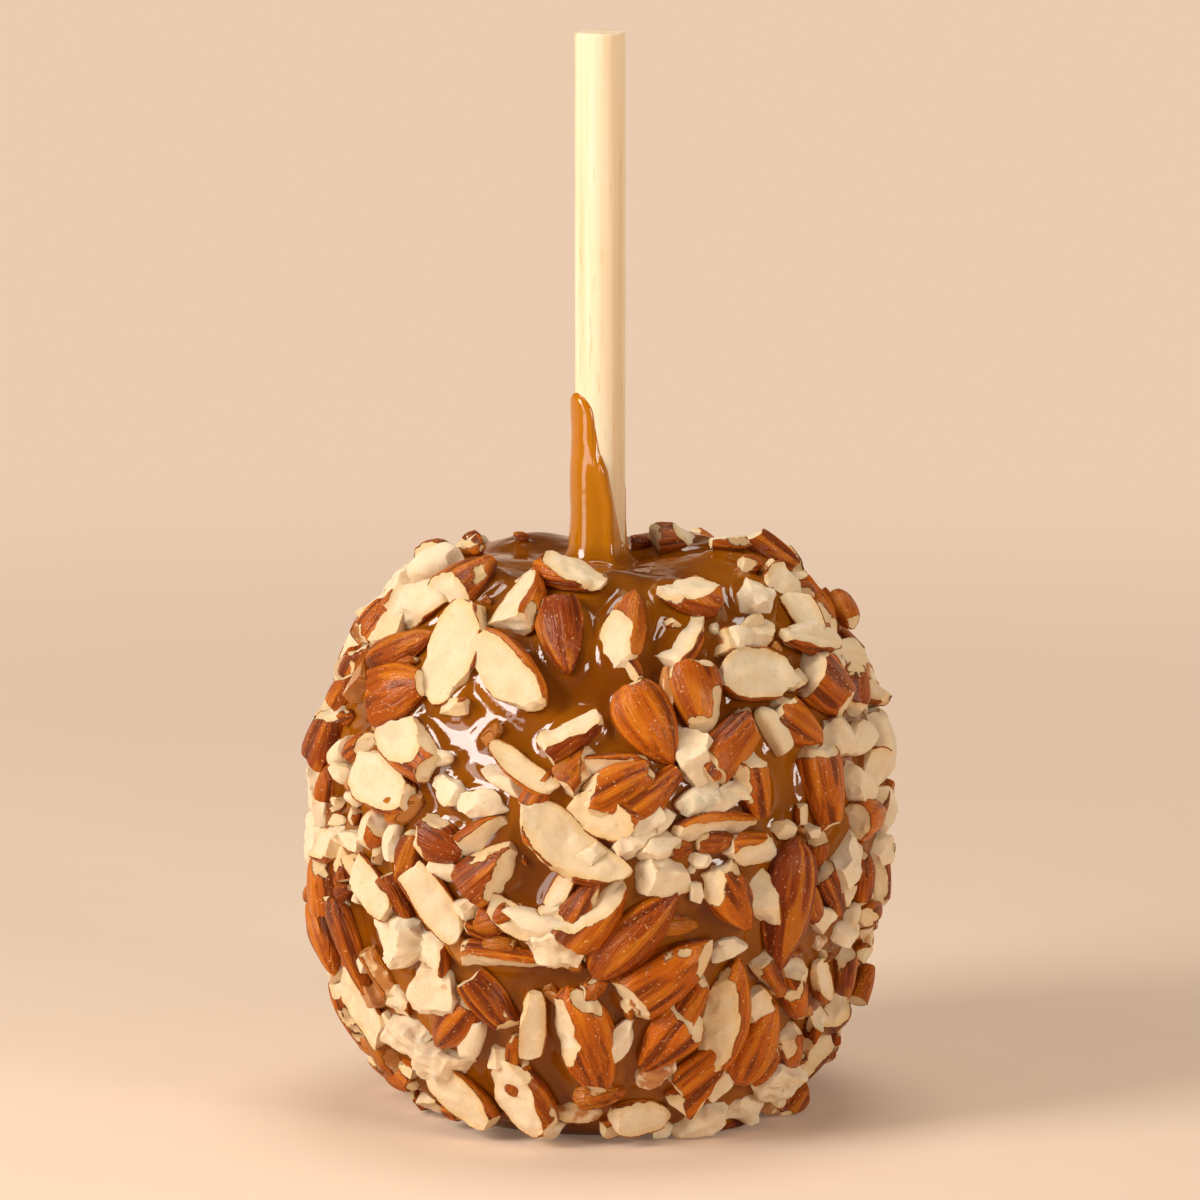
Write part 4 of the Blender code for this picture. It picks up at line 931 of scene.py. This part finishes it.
def almond_material():
    g = Graph("almond")
    where = g.place()
    depth = g.attribute("depth")
    tone = g.attribute("tone")
    pale = g.attribute("pale")
    cling = g.attribute("cling")
    lift = g.attribute("lift")
    streak = g.attribute("streak", True)

    # where skin ends: a crisp, slightly ragged line just inside the break
    ragged = g.noise(where, 1900, 2.0)
    edge = g.math("MULTIPLY_ADD", ragged, 0.34, -0.17)
    skin = g.ramp(g.math("ADD", depth, edge), -0.20, -0.09)

    # skin: lengthwise wrinkles, with painted shade in the grooves and a painted highlight along the ridges
    ribs = g.attribute("ribs")
    wrinkles = g.noise(g.scaled(streak, (0.55, 4.6, 4.6)), 1.0, 2.0, 0.5, 0.35)
    fine = g.noise(g.scaled(streak, (1.3, 17.0, 17.0)), 1.0, 2.0, 0.5, 0.3)
    broad = g.noise(where, 170, 2.0)
    t = g.math("ADD", tone, g.math("MULTIPLY_ADD", broad, 0.8, -0.4), clamp=True)
    hue = g.mix(t, (0.54, 0.114, 0.0015), (0.21, 0.024, 0.0008))
    # painted shade: darker where the wrinkles sink in
    painted_groove_shade = g.math("MAXIMUM", g.ramp(ribs, 0.10, 0.48), g.math("MULTIPLY", g.ramp(wrinkles, 0.46, 0.34), 0.6))
    hue = g.mix(g.math("MULTIPLY", painted_groove_shade, 0.82), hue, (0.11, 0.011, 0.0005))
    # painted highlight: lighter along the raised ridges of the wrinkles
    hue = g.mix(g.math("MULTIPLY", g.ramp(ribs, -0.15, -0.5), 0.46), hue, (0.72, 0.225, 0.008))
    hue = g.mix(g.math("MULTIPLY", g.ramp(fine, 0.54, 0.74), 0.34), hue, (0.74, 0.25, 0.02))
    hue = g.mix(g.math("MULTIPLY", g.ramp(fine, 0.42, 0.28), 0.32), hue, (0.18, 0.026, 0.002))
    # pale specks on the skin: partly dust, partly painted glints
    dust_and_glints = g.ramp(g.noise(where, 2300, 1.0), 0.69, 0.75)
    hue = g.mix(g.math("MULTIPLY", dust_and_glints, 0.6), hue, (0.95, 0.66, 0.32))

    # flesh: cream, toasted toward tan, a little darker beside the skin
    cloud = g.noise(where, 260, 3.0)
    toast = g.math("ADD", pale, g.math("MULTIPLY_ADD", cloud, 0.9, -0.45), clamp=True)
    meat = g.mix(toast, (0.79, 0.645, 0.455), (0.70, 0.485, 0.23))
    rim = g.ramp(depth, -1.5, -0.10)
    meat = g.mix(g.math("MULTIPLY", rim, 0.46), meat, (0.70, 0.42, 0.12))
    grain = g.noise(where, 1400, 3.0, 0.6)
    meat = g.mix(g.math("MULTIPLY", g.ramp(grain, 0.44, 0.30), 0.34), meat, (0.62, 0.37, 0.13))

    colour = g.mix(skin, meat, hue)

    # caramel that clings round the foot of the piece, or over all of it
    climb = g.noise(where, 420, 2.0)
    low = g.math("SUBTRACT", g.math("MULTIPLY_ADD", climb, 1.5, -0.25), lift)
    wet = g.ramp(low, -0.15, 0.25)
    over = g.math("ADD", g.math("MULTIPLY_ADD", climb, 1.6, -1.3), g.math("MULTIPLY", cling, 1.1))
    wet = g.math("MAXIMUM", wet, g.ramp(over, 0.0, 0.25))
    colour = g.mix(g.math("MULTIPLY", wet, 0.82), colour, (0.46, 0.135, 0.004))

    g.link(colour, g.shader.inputs["Base Color"])
    rough = g.math("MULTIPLY_ADD", skin, -0.14, 0.56)
    rough = g.math("MULTIPLY_ADD", g.noise(where, 900, 2.0), 0.16, rough)
    rough = g.math("MULTIPLY_ADD", wet, -0.36, rough)
    g.link(rough, g.shader.inputs["Roughness"])
    g.shader.inputs["Specular IOR Level"].default_value = 0.26
    g.shader.inputs["Specular Tint"].default_value = (1.0, 0.78, 0.46, 1)
    g.link(g.math("MULTIPLY_ADD", skin, -0.28, 0.28), g.shader.inputs["Subsurface Weight"])
    g.shader.inputs["Subsurface Radius"].default_value = (1.0, 0.55, 0.25)
    g.shader.inputs["Subsurface Scale"].default_value = 0.0012
    g.shader.inputs["Coat Roughness"].default_value = 0.13
    g.link(g.math("MULTIPLY_ADD", skin, 0.30, g.math("MULTIPLY", wet, 0.3)), g.shader.inputs["Coat Weight"])
    ridges = g.math("MULTIPLY", wrinkles, skin)
    n = g.bump(ridges, 0.9, 0.0005)
    n = g.bump(g.math("MULTIPLY", fine, skin), 0.8, 0.00016, n)
    n = g.bump(g.noise(where, 1300, 3.0, 0.6), 0.45, 0.00016, n)
    g.link(n, g.shader.inputs["Normal"])
    g.link(n, g.shader.inputs["Coat Normal"])
    return g.material


def caramel_material():
    g = Graph("caramel")
    where = g.place()
    thin = g.attribute("thin")
    broad = g.noise(where, 70, 2.0)
    body = g.mix(g.ramp(broad, 0.35, 0.65), (0.18, 0.043, 0.0004), (0.31, 0.090, 0.001))
    colour = g.mix(thin, body, (0.51, 0.17, 0.001))
    g.link(colour, g.shader.inputs["Base Color"])
    g.shader.inputs["Coat Weight"].default_value = 0.35
    g.shader.inputs["Coat Roughness"].default_value = 0.04
    g.shader.inputs["Subsurface Weight"].default_value = 0.05
    g.shader.inputs["Subsurface Radius"].default_value = (1.0, 0.32, 0.06)
    g.shader.inputs["Subsurface Scale"].default_value = 0.0022
    rough = g.math("MULTIPLY_ADD", g.noise(where, 300, 2.0), 0.10, 0.06)
    g.link(rough, g.shader.inputs["Roughness"])
    g.shader.inputs["IOR"].default_value = 1.49
    n = g.bump(g.noise(where, 260, 2.0), 0.5, 0.00025)
    g.link(n, g.shader.inputs["Normal"])
    g.link(n, g.shader.inputs["Coat Normal"])
    return g.material


def wood_material():
    g = Graph("birch wood")
    where = g.place()
    long = g.scaled(where, (1.0, 1.0, 0.035))
    grain = g.noise(long, 900, 4.0, 0.6, 0.2)
    streaks = g.noise(g.scaled(where, (1.0, 1.0, 0.012)), 420, 3.0, 0.5, 0.1)
    flecks = g.ramp(g.noise(g.scaled(where, (1.0, 1.0, 0.10)), 1500, 1.0), 0.66, 0.74)
    colour = g.mix(g.ramp(grain, 0.3, 0.7), (0.90, 0.71, 0.45), (0.94, 0.79, 0.57))
    colour = g.mix(g.math("MULTIPLY", g.ramp(streaks, 0.50, 0.68), 0.5), colour, (0.74, 0.47, 0.20))
    colour = g.mix(g.math("MULTIPLY", flecks, 0.35), colour, (0.62, 0.36, 0.14))
    g.link(colour, g.shader.inputs["Base Color"])
    rough = g.math("MULTIPLY_ADD", grain, 0.15, 0.48)
    g.link(rough, g.shader.inputs["Roughness"])
    g.link(g.bump(grain, 0.6, 0.00012), g.shader.inputs["Normal"])
    return g.material


def floor_material():
    """Pale paper. Away from the object it glows a little with painted light, as a lit sweep would look,
    so that it looks the same whichever way the camera faces."""
    g = Graph("pale floor")
    where = g.place()
    soft = g.noise(where, 9, 4.0, 0.6)
    colour = g.mix(g.ramp(soft, 0.3, 0.7), (0.88, 0.68, 0.52), (0.90, 0.70, 0.54))
    g.link(colour, g.shader.inputs["Base Color"])
    g.shader.inputs["Roughness"].default_value = 0.75
    g.shader.inputs["Specular IOR Level"].default_value = 0.2
    # painted light: the floor glows, a little near the object and fully far from it
    far = g.node("ShaderNodeVectorMath", operation="LENGTH")
    g.link(where, far.inputs[0])
    share = g.ramp(far.outputs["Value"], 0.10, 0.70, 0.12)
    painted_glow = g.node("ShaderNodeEmission")
    painted_glow.inputs["Color"].default_value = (0.83, 0.60, 0.43, 1)
    both = g.node("ShaderNodeMixShader")
    g.link(share, both.inputs[0])
    g.link(g.shader.outputs[0], both.inputs[1])
    g.link(painted_glow.outputs[0], both.inputs[2])
    # in glossy reflections the near half is painted dark, as a dark studio in front of a sweep would look
    path = g.node("ShaderNodeLightPath")
    parts = g.node("ShaderNodeSeparateXYZ")
    g.link(where, parts.inputs[0])
    near = g.math("MULTIPLY", g.ramp(parts.outputs["Y"], 0.10, -0.12), path.outputs["Is Glossy Ray"])
    dim = g.node("ShaderNodeMixShader")
    dark = g.node("ShaderNodeEmission")
    dark.inputs["Strength"].default_value = 0.0
    g.link(g.math("MULTIPLY", near, 0.8), dim.inputs[0])
    g.link(both.outputs[0], dim.inputs[1])
    g.link(dark.outputs[0], dim.inputs[2])
    g.link(dim.outputs[0], g.tree.nodes["Material Output"].inputs["Surface"])
    return g.material


ALMOND, CARAMEL = almond_material(), caramel_material()
WOOD, FLOOR = wood_material(), floor_material()


# ------------------------------------------------------------------ the stick
def stick_mesh(sides=96):
    rings = [(STICK_R - 0.6, STICK_LOW), (STICK_R - 0.05, STICK_LOW + 0.5)]
    rings += [(STICK_R, z) for z in np.linspace(STICK_LOW + 1.2, STICK_TOP - 0.7, 46)]
    for k in range(1, 6):
        a = math.pi / 2 * k / 5
        rings.append((STICK_R - 0.45 * (1 - math.cos(a)), STICK_TOP - 0.45 * (1 - math.sin(a))))
    rings += [(STICK_R - 0.45 - d, STICK_TOP) for d in (0.5, 1.2, 2.0, 2.8)]
    verts = []
    a = 2 * np.pi * np.arange(sides) / sides
    for r, z in rings:
        wobble = 0.02 * np.cos(3 * a + 1) + 0.012 * np.cos(7 * a + z * 0.05)
        k = r * (1 + wobble * 0.3)
        verts.append(np.stack((k * np.cos(a), k * np.sin(a), np.full(sides, z)), 1))
    verts = np.concatenate(verts)
    top = verts[:, 2] > STICK_TOP - 0.1
    verts[top, 2] -= 0.10 * np.abs(noise(verts[top], 0.9, 3))
    verts = np.vstack((verts, (0, 0, STICK_LOW), (0, 0, STICK_TOP - 0.05)))
    faces = []
    n = len(rings)
    for i in range(n - 1):
        for j in range(sides):
            k = (j + 1) % sides
            faces.append((i * sides + j, i * sides + k, (i + 1) * sides + k))
            faces.append((i * sides + j, (i + 1) * sides + k, (i + 1) * sides + j))
    low, high = len(verts) - 2, len(verts) - 1
    for j in range(sides):
        k = (j + 1) % sides
        faces.append((low, k, j))
        faces.append((high, (n - 1) * sides + j, (n - 1) * sides + k))
    return verts, np.array(faces)


# ------------------------------------------------------------------ the caramel
def tongue_height(phi):
    """How far the caramel climbs the stick at an angle round it, in degrees
    from the front, + to the right."""
    sides = [t for t in TONGUE if t[0] <= 23.0]
    h = np.array([t[0] for t in sides])
    left = np.array([t[1] for t in sides], float)
    right = np.array([t[2] for t in sides], float)
    middle, half = (left[-1] + right[-1]) / 2, (right[-1] - left[-1]) / 2
    tall = np.where(phi < middle, np.interp(phi, left, h), np.interp(-phi, -right, h))
    across = np.clip((phi - middle) / half, -1, 1)
    tall = tall + (TONGUE_TIP - h[-1]) * np.sqrt(1 - across**2)
    sliver = 13.0 * np.clip(1 - np.abs(phi - 104) / 17, 0, 1) ** 0.75
    ring = 1.3 + 0.35 * np.sin(np.radians(phi) * 3 + 1) + 0.2 * np.sin(np.radians(phi) * 7)
    return np.maximum(np.maximum(tall, sliver), ring)


def run_walls(phi, h):
    """How thick the two runs of caramel down the stick are."""
    edge = np.interp(h, [t[0] for t in TONGUE], [t[2] for t in TONGUE])
    first = np.exp(-(np.abs((phi + 64) / 52) ** 3.2))
    second = np.exp(-(((phi - np.minimum(edge - 14, 21)) / 12.5) ** 2)) * np.clip((20 - h) / 5, 0, 1)
    swollen = 1 + 0.22 * np.sin(h * 0.52 + 0.6) * np.clip(h / 6, 0, 1)
    return 0.62 * first * swollen + 0.58 * second


def caramel_mesh(nuts, columns=420, rows=176, climb=36):
    fine = np.array(profile(90, 90, 60))
    fine = fine[fine[:, 0] > 6.3]
    far = np.concatenate(([0], np.cumsum(np.linalg.norm(np.diff(fine, axis=0), axis=1))))
    at = np.linspace(0, far[-1], rows)
    r0 = np.interp(at, far, fine[:, 0])
    z0 = np.interp(at, far, fine[:, 1])
    phi = np.linspace(-180, 180, columns, endpoint=False)
    theta = np.radians(phi - 90)
    R, TH = np.meshgrid(r0, theta, indexing="ij")
    Z = np.repeat(z0[:, None], columns, 1)
    K = R * swell(TH, Z)
    P = np.stack((K * np.cos(TH), K * np.sin(TH), Z + rise(TH, R, Z)), -1)
    du = np.gradient(P, axis=0)
    dv = np.roll(P, -1, 1) - np.roll(P, 1, 1)
    N = np.cross(dv, du)
    N /= np.linalg.norm(N, axis=-1, keepdims=True)
    flat = P.reshape(-1, 3)
    heap = np.zeros(len(flat))
    for nut in nuts:
        reach = nut.length / 2 + 4.0
        near = np.nonzero(((flat - nut.p) ** 2).sum(1) < reach * reach)[0]
        if not len(near):
            continue
        q = (flat[near] - nut.p) @ nut.m
        k = np.sqrt((q[:, 0] / (nut.length / 2)) ** 2 + (q[:, 1] / (nut.width / 2)) ** 2)
        d = np.maximum((k - 1) * nut.width / 2, 0)
        high = min(0.95, 0.35 + 0.10 * nut.width)
        heap[near] += (high * np.exp(-d / 0.75)) ** 4
    heap = heap**0.25
    ease = np.clip(flat[:, 2] / 4, 0, 1) * np.clip((np.hypot(flat[:, 0], flat[:, 1]) - 6) / 5, 0, 1)
    waves = 0.30 * noise(flat, 8.5, 2) + 0.16 * noise(flat, 4.0, 5) + 0.04 * noise(flat, 1.8, 8)
    flat = flat + N.reshape(-1, 3) * ((heap + waves) * ease)[:, None]
    flat[:, 2] = np.maximum(flat[:, 2], 0.0)
    P = flat.reshape(rows, columns, 3)

    # up the stick
    tall = tongue_height(phi)
    for _ in range(2):
        tall = 0.25 * np.roll(tall, 1) + 0.5 * tall + 0.25 * np.roll(tall, -1)
    slope = (np.roll(tall, -1) - np.roll(tall, 1)) / (2 * 2 * np.pi * STICK_R / columns)
    base = P[-1, :, 2]
    sleeve, thin = [], []
    for i in range(1, climb + 1):
        t = 1 - (1 - i / climb) ** 1.5
        h = tall * t
        d = (tall - h) / np.sqrt(1 + slope**2)
        edge = np.sqrt(np.clip(1 - (1 - np.clip(d / 1.1, 0, 1)) ** 2, 0, 1))
        wall = 0.22 + run_walls(phi, h) + 0.05 * noise(np.stack((phi * 0.06, h, 0 * h), 1), 2.2, 4)
        foot = 1.75 * np.exp(-h / 0.85) + 0.35 * np.exp(-h / 4.0)
        r = STICK_R + wall * edge * np.clip(1.1 - h / 90, 0.5, 1) + foot * np.clip(d / 0.5, 0, 1)
        r = np.minimum(r, 6.3)
        sleeve.append(np.stack((r * np.cos(theta), r * np.sin(theta), base + h), -1))
        thin.append(np.clip((h - 0.3) / 3.0, 0, 1))
    inner = STICK_R - 0.06
    inside = []
    for z in (None, 85.0, 70.0, STICK_LOW + 3, STICK_LOW - 0.25):
        r = inner
        height = base + tall if z is None else np.full(columns, z)
        inside.append(np.stack((r * np.cos(theta), r * np.sin(theta), height), -1))
    # the flat foot
    foot = []
    for k in (0.0, 0.35, 0.7, 0.92):
        ring = P[0].copy() * k
        ring[:, 2] = 0.0
        foot.append(ring)
    rows_all = foot[1:] + [P[i] for i in range(rows)] + sleeve + inside
    verts = np.concatenate(rows_all)
    n = len(rows_all)
    i, j = np.meshgrid(np.arange(n - 1), np.arange(columns), indexing="ij")
    k = (j + 1) % columns
    quads = np.stack((i * columns + j, i * columns + k, (i + 1) * columns + k, (i + 1) * columns + j), -1).reshape(-1, 4)
    faces = np.concatenate((quads[:, (0, 1, 2)], quads[:, (0, 2, 3)]))
    verts = np.vstack((verts, (0, 0, 0), (0, 0, STICK_LOW - 0.25)))
    a, b = len(verts) - 2, len(verts) - 1
    j = np.arange(columns)
    k = (j + 1) % columns
    last = (n - 1) * columns
    faces = np.concatenate(
        (faces, np.stack((np.full(columns, a), k, j), 1), np.stack((np.full(columns, b), last + j, last + k), 1))
    )
    thin_all = np.zeros(len(verts))
    start = (3 + rows) * columns
    thin_all[start : start + climb * columns] = np.concatenate(thin)
    return verts, faces, thin_all


def add_piece(obj, slot, *nodes):
    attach(obj, "root")
    if nodes:
        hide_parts(*nodes)
    return obj


def nut_attributes(world, depth, streak, ribs, skin, pale, cling):
    n = len(world)
    return {
        "depth": depth,
        "streak": streak,
        "ribs": ribs,
        "tone": np.full(n, skin),
        "pale": np.full(n, pale),
        "cling": np.full(n, cling),
        "lift": height_over(world),
    }


def grounded(world):
    world[:, 2] = np.maximum(world[:, 2], ALMOND_FLOOR)
    return world


big = big_nuts()
small = small_nuts()
more = scattered([n for _, n, *_ in big] + [n for _, n, *_ in small])
print(f"{len(big)} large, {len(small)} small, {len(more)} scattered", round(time.time() - T0, 1))
everything = [n for _, n, *_ in big] + [n for _, n, *_ in small] + [n for _, n, *_ in more]

verts, faces, thin = caramel_mesh(everything)
caramel = make_object("caramel_coat", verts, faces, {"thin": thin}, CARAMEL)
add_piece(caramel, "caramel", "caramel_apple")
print("caramel", len(faces), round(time.time() - T0, 1))

verts, faces = stick_mesh()
stick = make_object("wooden_stick", verts, faces, {}, WOOD, 50)
add_piece(stick, "stick", "stick")

total = 0
for node, nut, skin, pale, cling, shows_flesh in big:
    cell = 0.45 if nut.p[1] < 5 else 0.56
    world, quads, depth, streak, ribs = nut.mesh(cell)
    world = grounded(world)
    total += 2 * len(quads)
    obj = make_object(
        node + "_look", world, quads, nut_attributes(world, depth, streak, ribs, skin, pale, cling), ALMOND, 38
    )
    add_piece(obj, "almond_flesh" if shows_flesh else "almond_skin", node)
    lo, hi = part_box(node)
    middle = (np.array(lo) + np.array(hi)) / 2 / MM
    off = np.linalg.norm((world.min(0) + world.max(0)) / 2 - middle)
    if off > 4.0:
        print("  note", node, "middle is", round(float(off), 1), "mm from its solid's")
print("large almonds", total, round(time.time() - T0, 1))

groups = {}
for kind, nut, skin, pale, cling in small + more:
    place = "front" if nut.p[1] < 0 else "back"
    groups.setdefault((kind, place), []).append((nut, skin, pale, cling))
NAMES = {"S": "skin_chunks", "F": "split_halves", "P": "flesh_chunks", "V": "slivers"}
for (kind, place), members in sorted(groups.items()):
    parts, count = [], 0
    for nut, skin, pale, cling in members:
        size = nut.length * nut.width
        cell = 0.38 if size < 14 else 0.45
        if place == "back":
            cell *= 1.5
        made = nut.mesh(cell)
        if made is None:
            continue
        world, quads, depth, streak, ribs = made
        world = grounded(world)
        parts.append((world, quads + count, nut_attributes(world, depth, streak, ribs, skin, pale, cling)))
        count += len(world)
    world = np.concatenate([p[0] for p in parts])
    quads = np.concatenate([p[1] for p in parts])
    attributes = {k: np.concatenate([p[2][k] for p in parts]) for k in parts[0][2]}
    name = f"almond_{NAMES[kind]}_{place}"
    obj = make_object(name, world, quads, attributes, ALMOND, 38)
    add_piece(obj, "almond_skin" if kind == "S" else "almond_flesh")
    total += 2 * len(quads)
    print(" ", name, len(members), "pieces", 2 * len(quads), "triangles")
print("almonds", total, round(time.time() - T0, 1))

# ------------------------------------------------------------------ the stage
bpy.ops.mesh.primitive_circle_add(vertices=96, radius=6.0, fill_type="NGON", location=(0, 0, 0))
floor = bpy.context.object
floor.name = "floor"
floor.data.materials.append(FLOOR)


def area_light(name, place, aim, size, watts, colour):
    data = bpy.data.lights.new(name, "AREA")
    data.shape = "RECTANGLE"
    data.size, data.size_y = size
    data.energy = watts
    data.color = colour
    obj = bpy.data.objects.new(name, data)
    obj.location = place
    way = Vector(aim) - Vector(place)
    obj.rotation_euler = way.to_track_quat("-Z", "Y").to_euler()
    obj.visible_camera = False
    bpy.context.scene.collection.objects.link(obj)
    return obj


middle = (0, 0, 0.055)
area_light("key", (-0.72, -0.42, 0.52), middle, (0.38, 0.44), 7.7, (1.0, 0.96, 0.90))
area_light("fill", (0.76, -0.72, 0.34), middle, (0.3, 0.4), 4.2, (1.0, 0.94, 0.87))
area_light("low strip", (-0.335, -0.265, 0.105), (0, 0, 0.10), (0.15, 0.19), 0.36, (1.0, 0.95, 0.88))
area_light("top", (0.05, 0.15, 1.1), middle, (0.5, 0.5), 4.6, (1.0, 0.93, 0.86))

world = bpy.data.worlds.new("studio")
world.use_nodes = True
tree = world.node_tree


def sky(strength, colour):
    n = tree.nodes.new("ShaderNodeBackground")
    n.inputs["Color"].default_value = (*colour, 1)
    n.inputs["Strength"].default_value = strength
    return n.outputs[0]


def choose(fac, a, b):
    n = tree.nodes.new("ShaderNodeMixShader")
    tree.links.new(fac, n.inputs[0])
    tree.links.new(a, n.inputs[1])
    tree.links.new(b, n.inputs[2])
    return n.outputs[0]


# a soft even room: seen directly it is the backdrop's colour, and in reflections
# it is bright only near the horizon, as a sweep below dark walls is
path = tree.nodes.new("ShaderNodeLightPath")
way = tree.nodes.new("ShaderNodeTexCoord")
parts = tree.nodes.new("ShaderNodeSeparateXYZ")
tree.links.new(way.outputs["Generated"], parts.inputs[0])
high = tree.nodes.new("ShaderNodeMapRange")
high.inputs["From Min"].default_value = 0.08
high.inputs["From Max"].default_value = 0.40
tree.links.new(parts.outputs["Z"], high.inputs["Value"])
ahead = tree.nodes.new("ShaderNodeMapRange")
ahead.inputs["From Min"].default_value = 0.35
ahead.inputs["From Max"].default_value = -0.15
tree.links.new(parts.outputs["Y"], ahead.inputs["Value"])
low = choose(ahead.outputs["Result"], sky(0.95, (0.83, 0.60, 0.43)), sky(0.15, (1.0, 0.85, 0.70)))
mirrored = choose(high.outputs["Result"], low, sky(0.05, (1.0, 0.85, 0.70)))
room = choose(path.outputs["Is Glossy Ray"], sky(0.17, (1.0, 0.82, 0.66)), mirrored)
room = choose(path.outputs["Is Camera Ray"], room, sky(1.0, (0.83, 0.60, 0.43)))
tree.links.new(room, tree.nodes["World Output"].inputs["Surface"])
bpy.context.scene.world = world

# ------------------------------------------------------------------ the camera
data = bpy.data.cameras.new("camera")
data.sensor_width = 36.0
data.lens = 228.2
data.clip_end = 30
camera = bpy.data.objects.new("camera", data)
camera.location = EYE * MM
camera.rotation_euler = (Vector(AIM * MM) - Vector(EYE * MM)).to_track_quat("-Z", "Y").to_euler()
bpy.context.scene.collection.objects.link(camera)
bpy.context.scene.camera = camera
bpy.context.scene.view_settings.view_transform = "Standard"

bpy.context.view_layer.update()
print("done", round(time.time() - T0, 1))
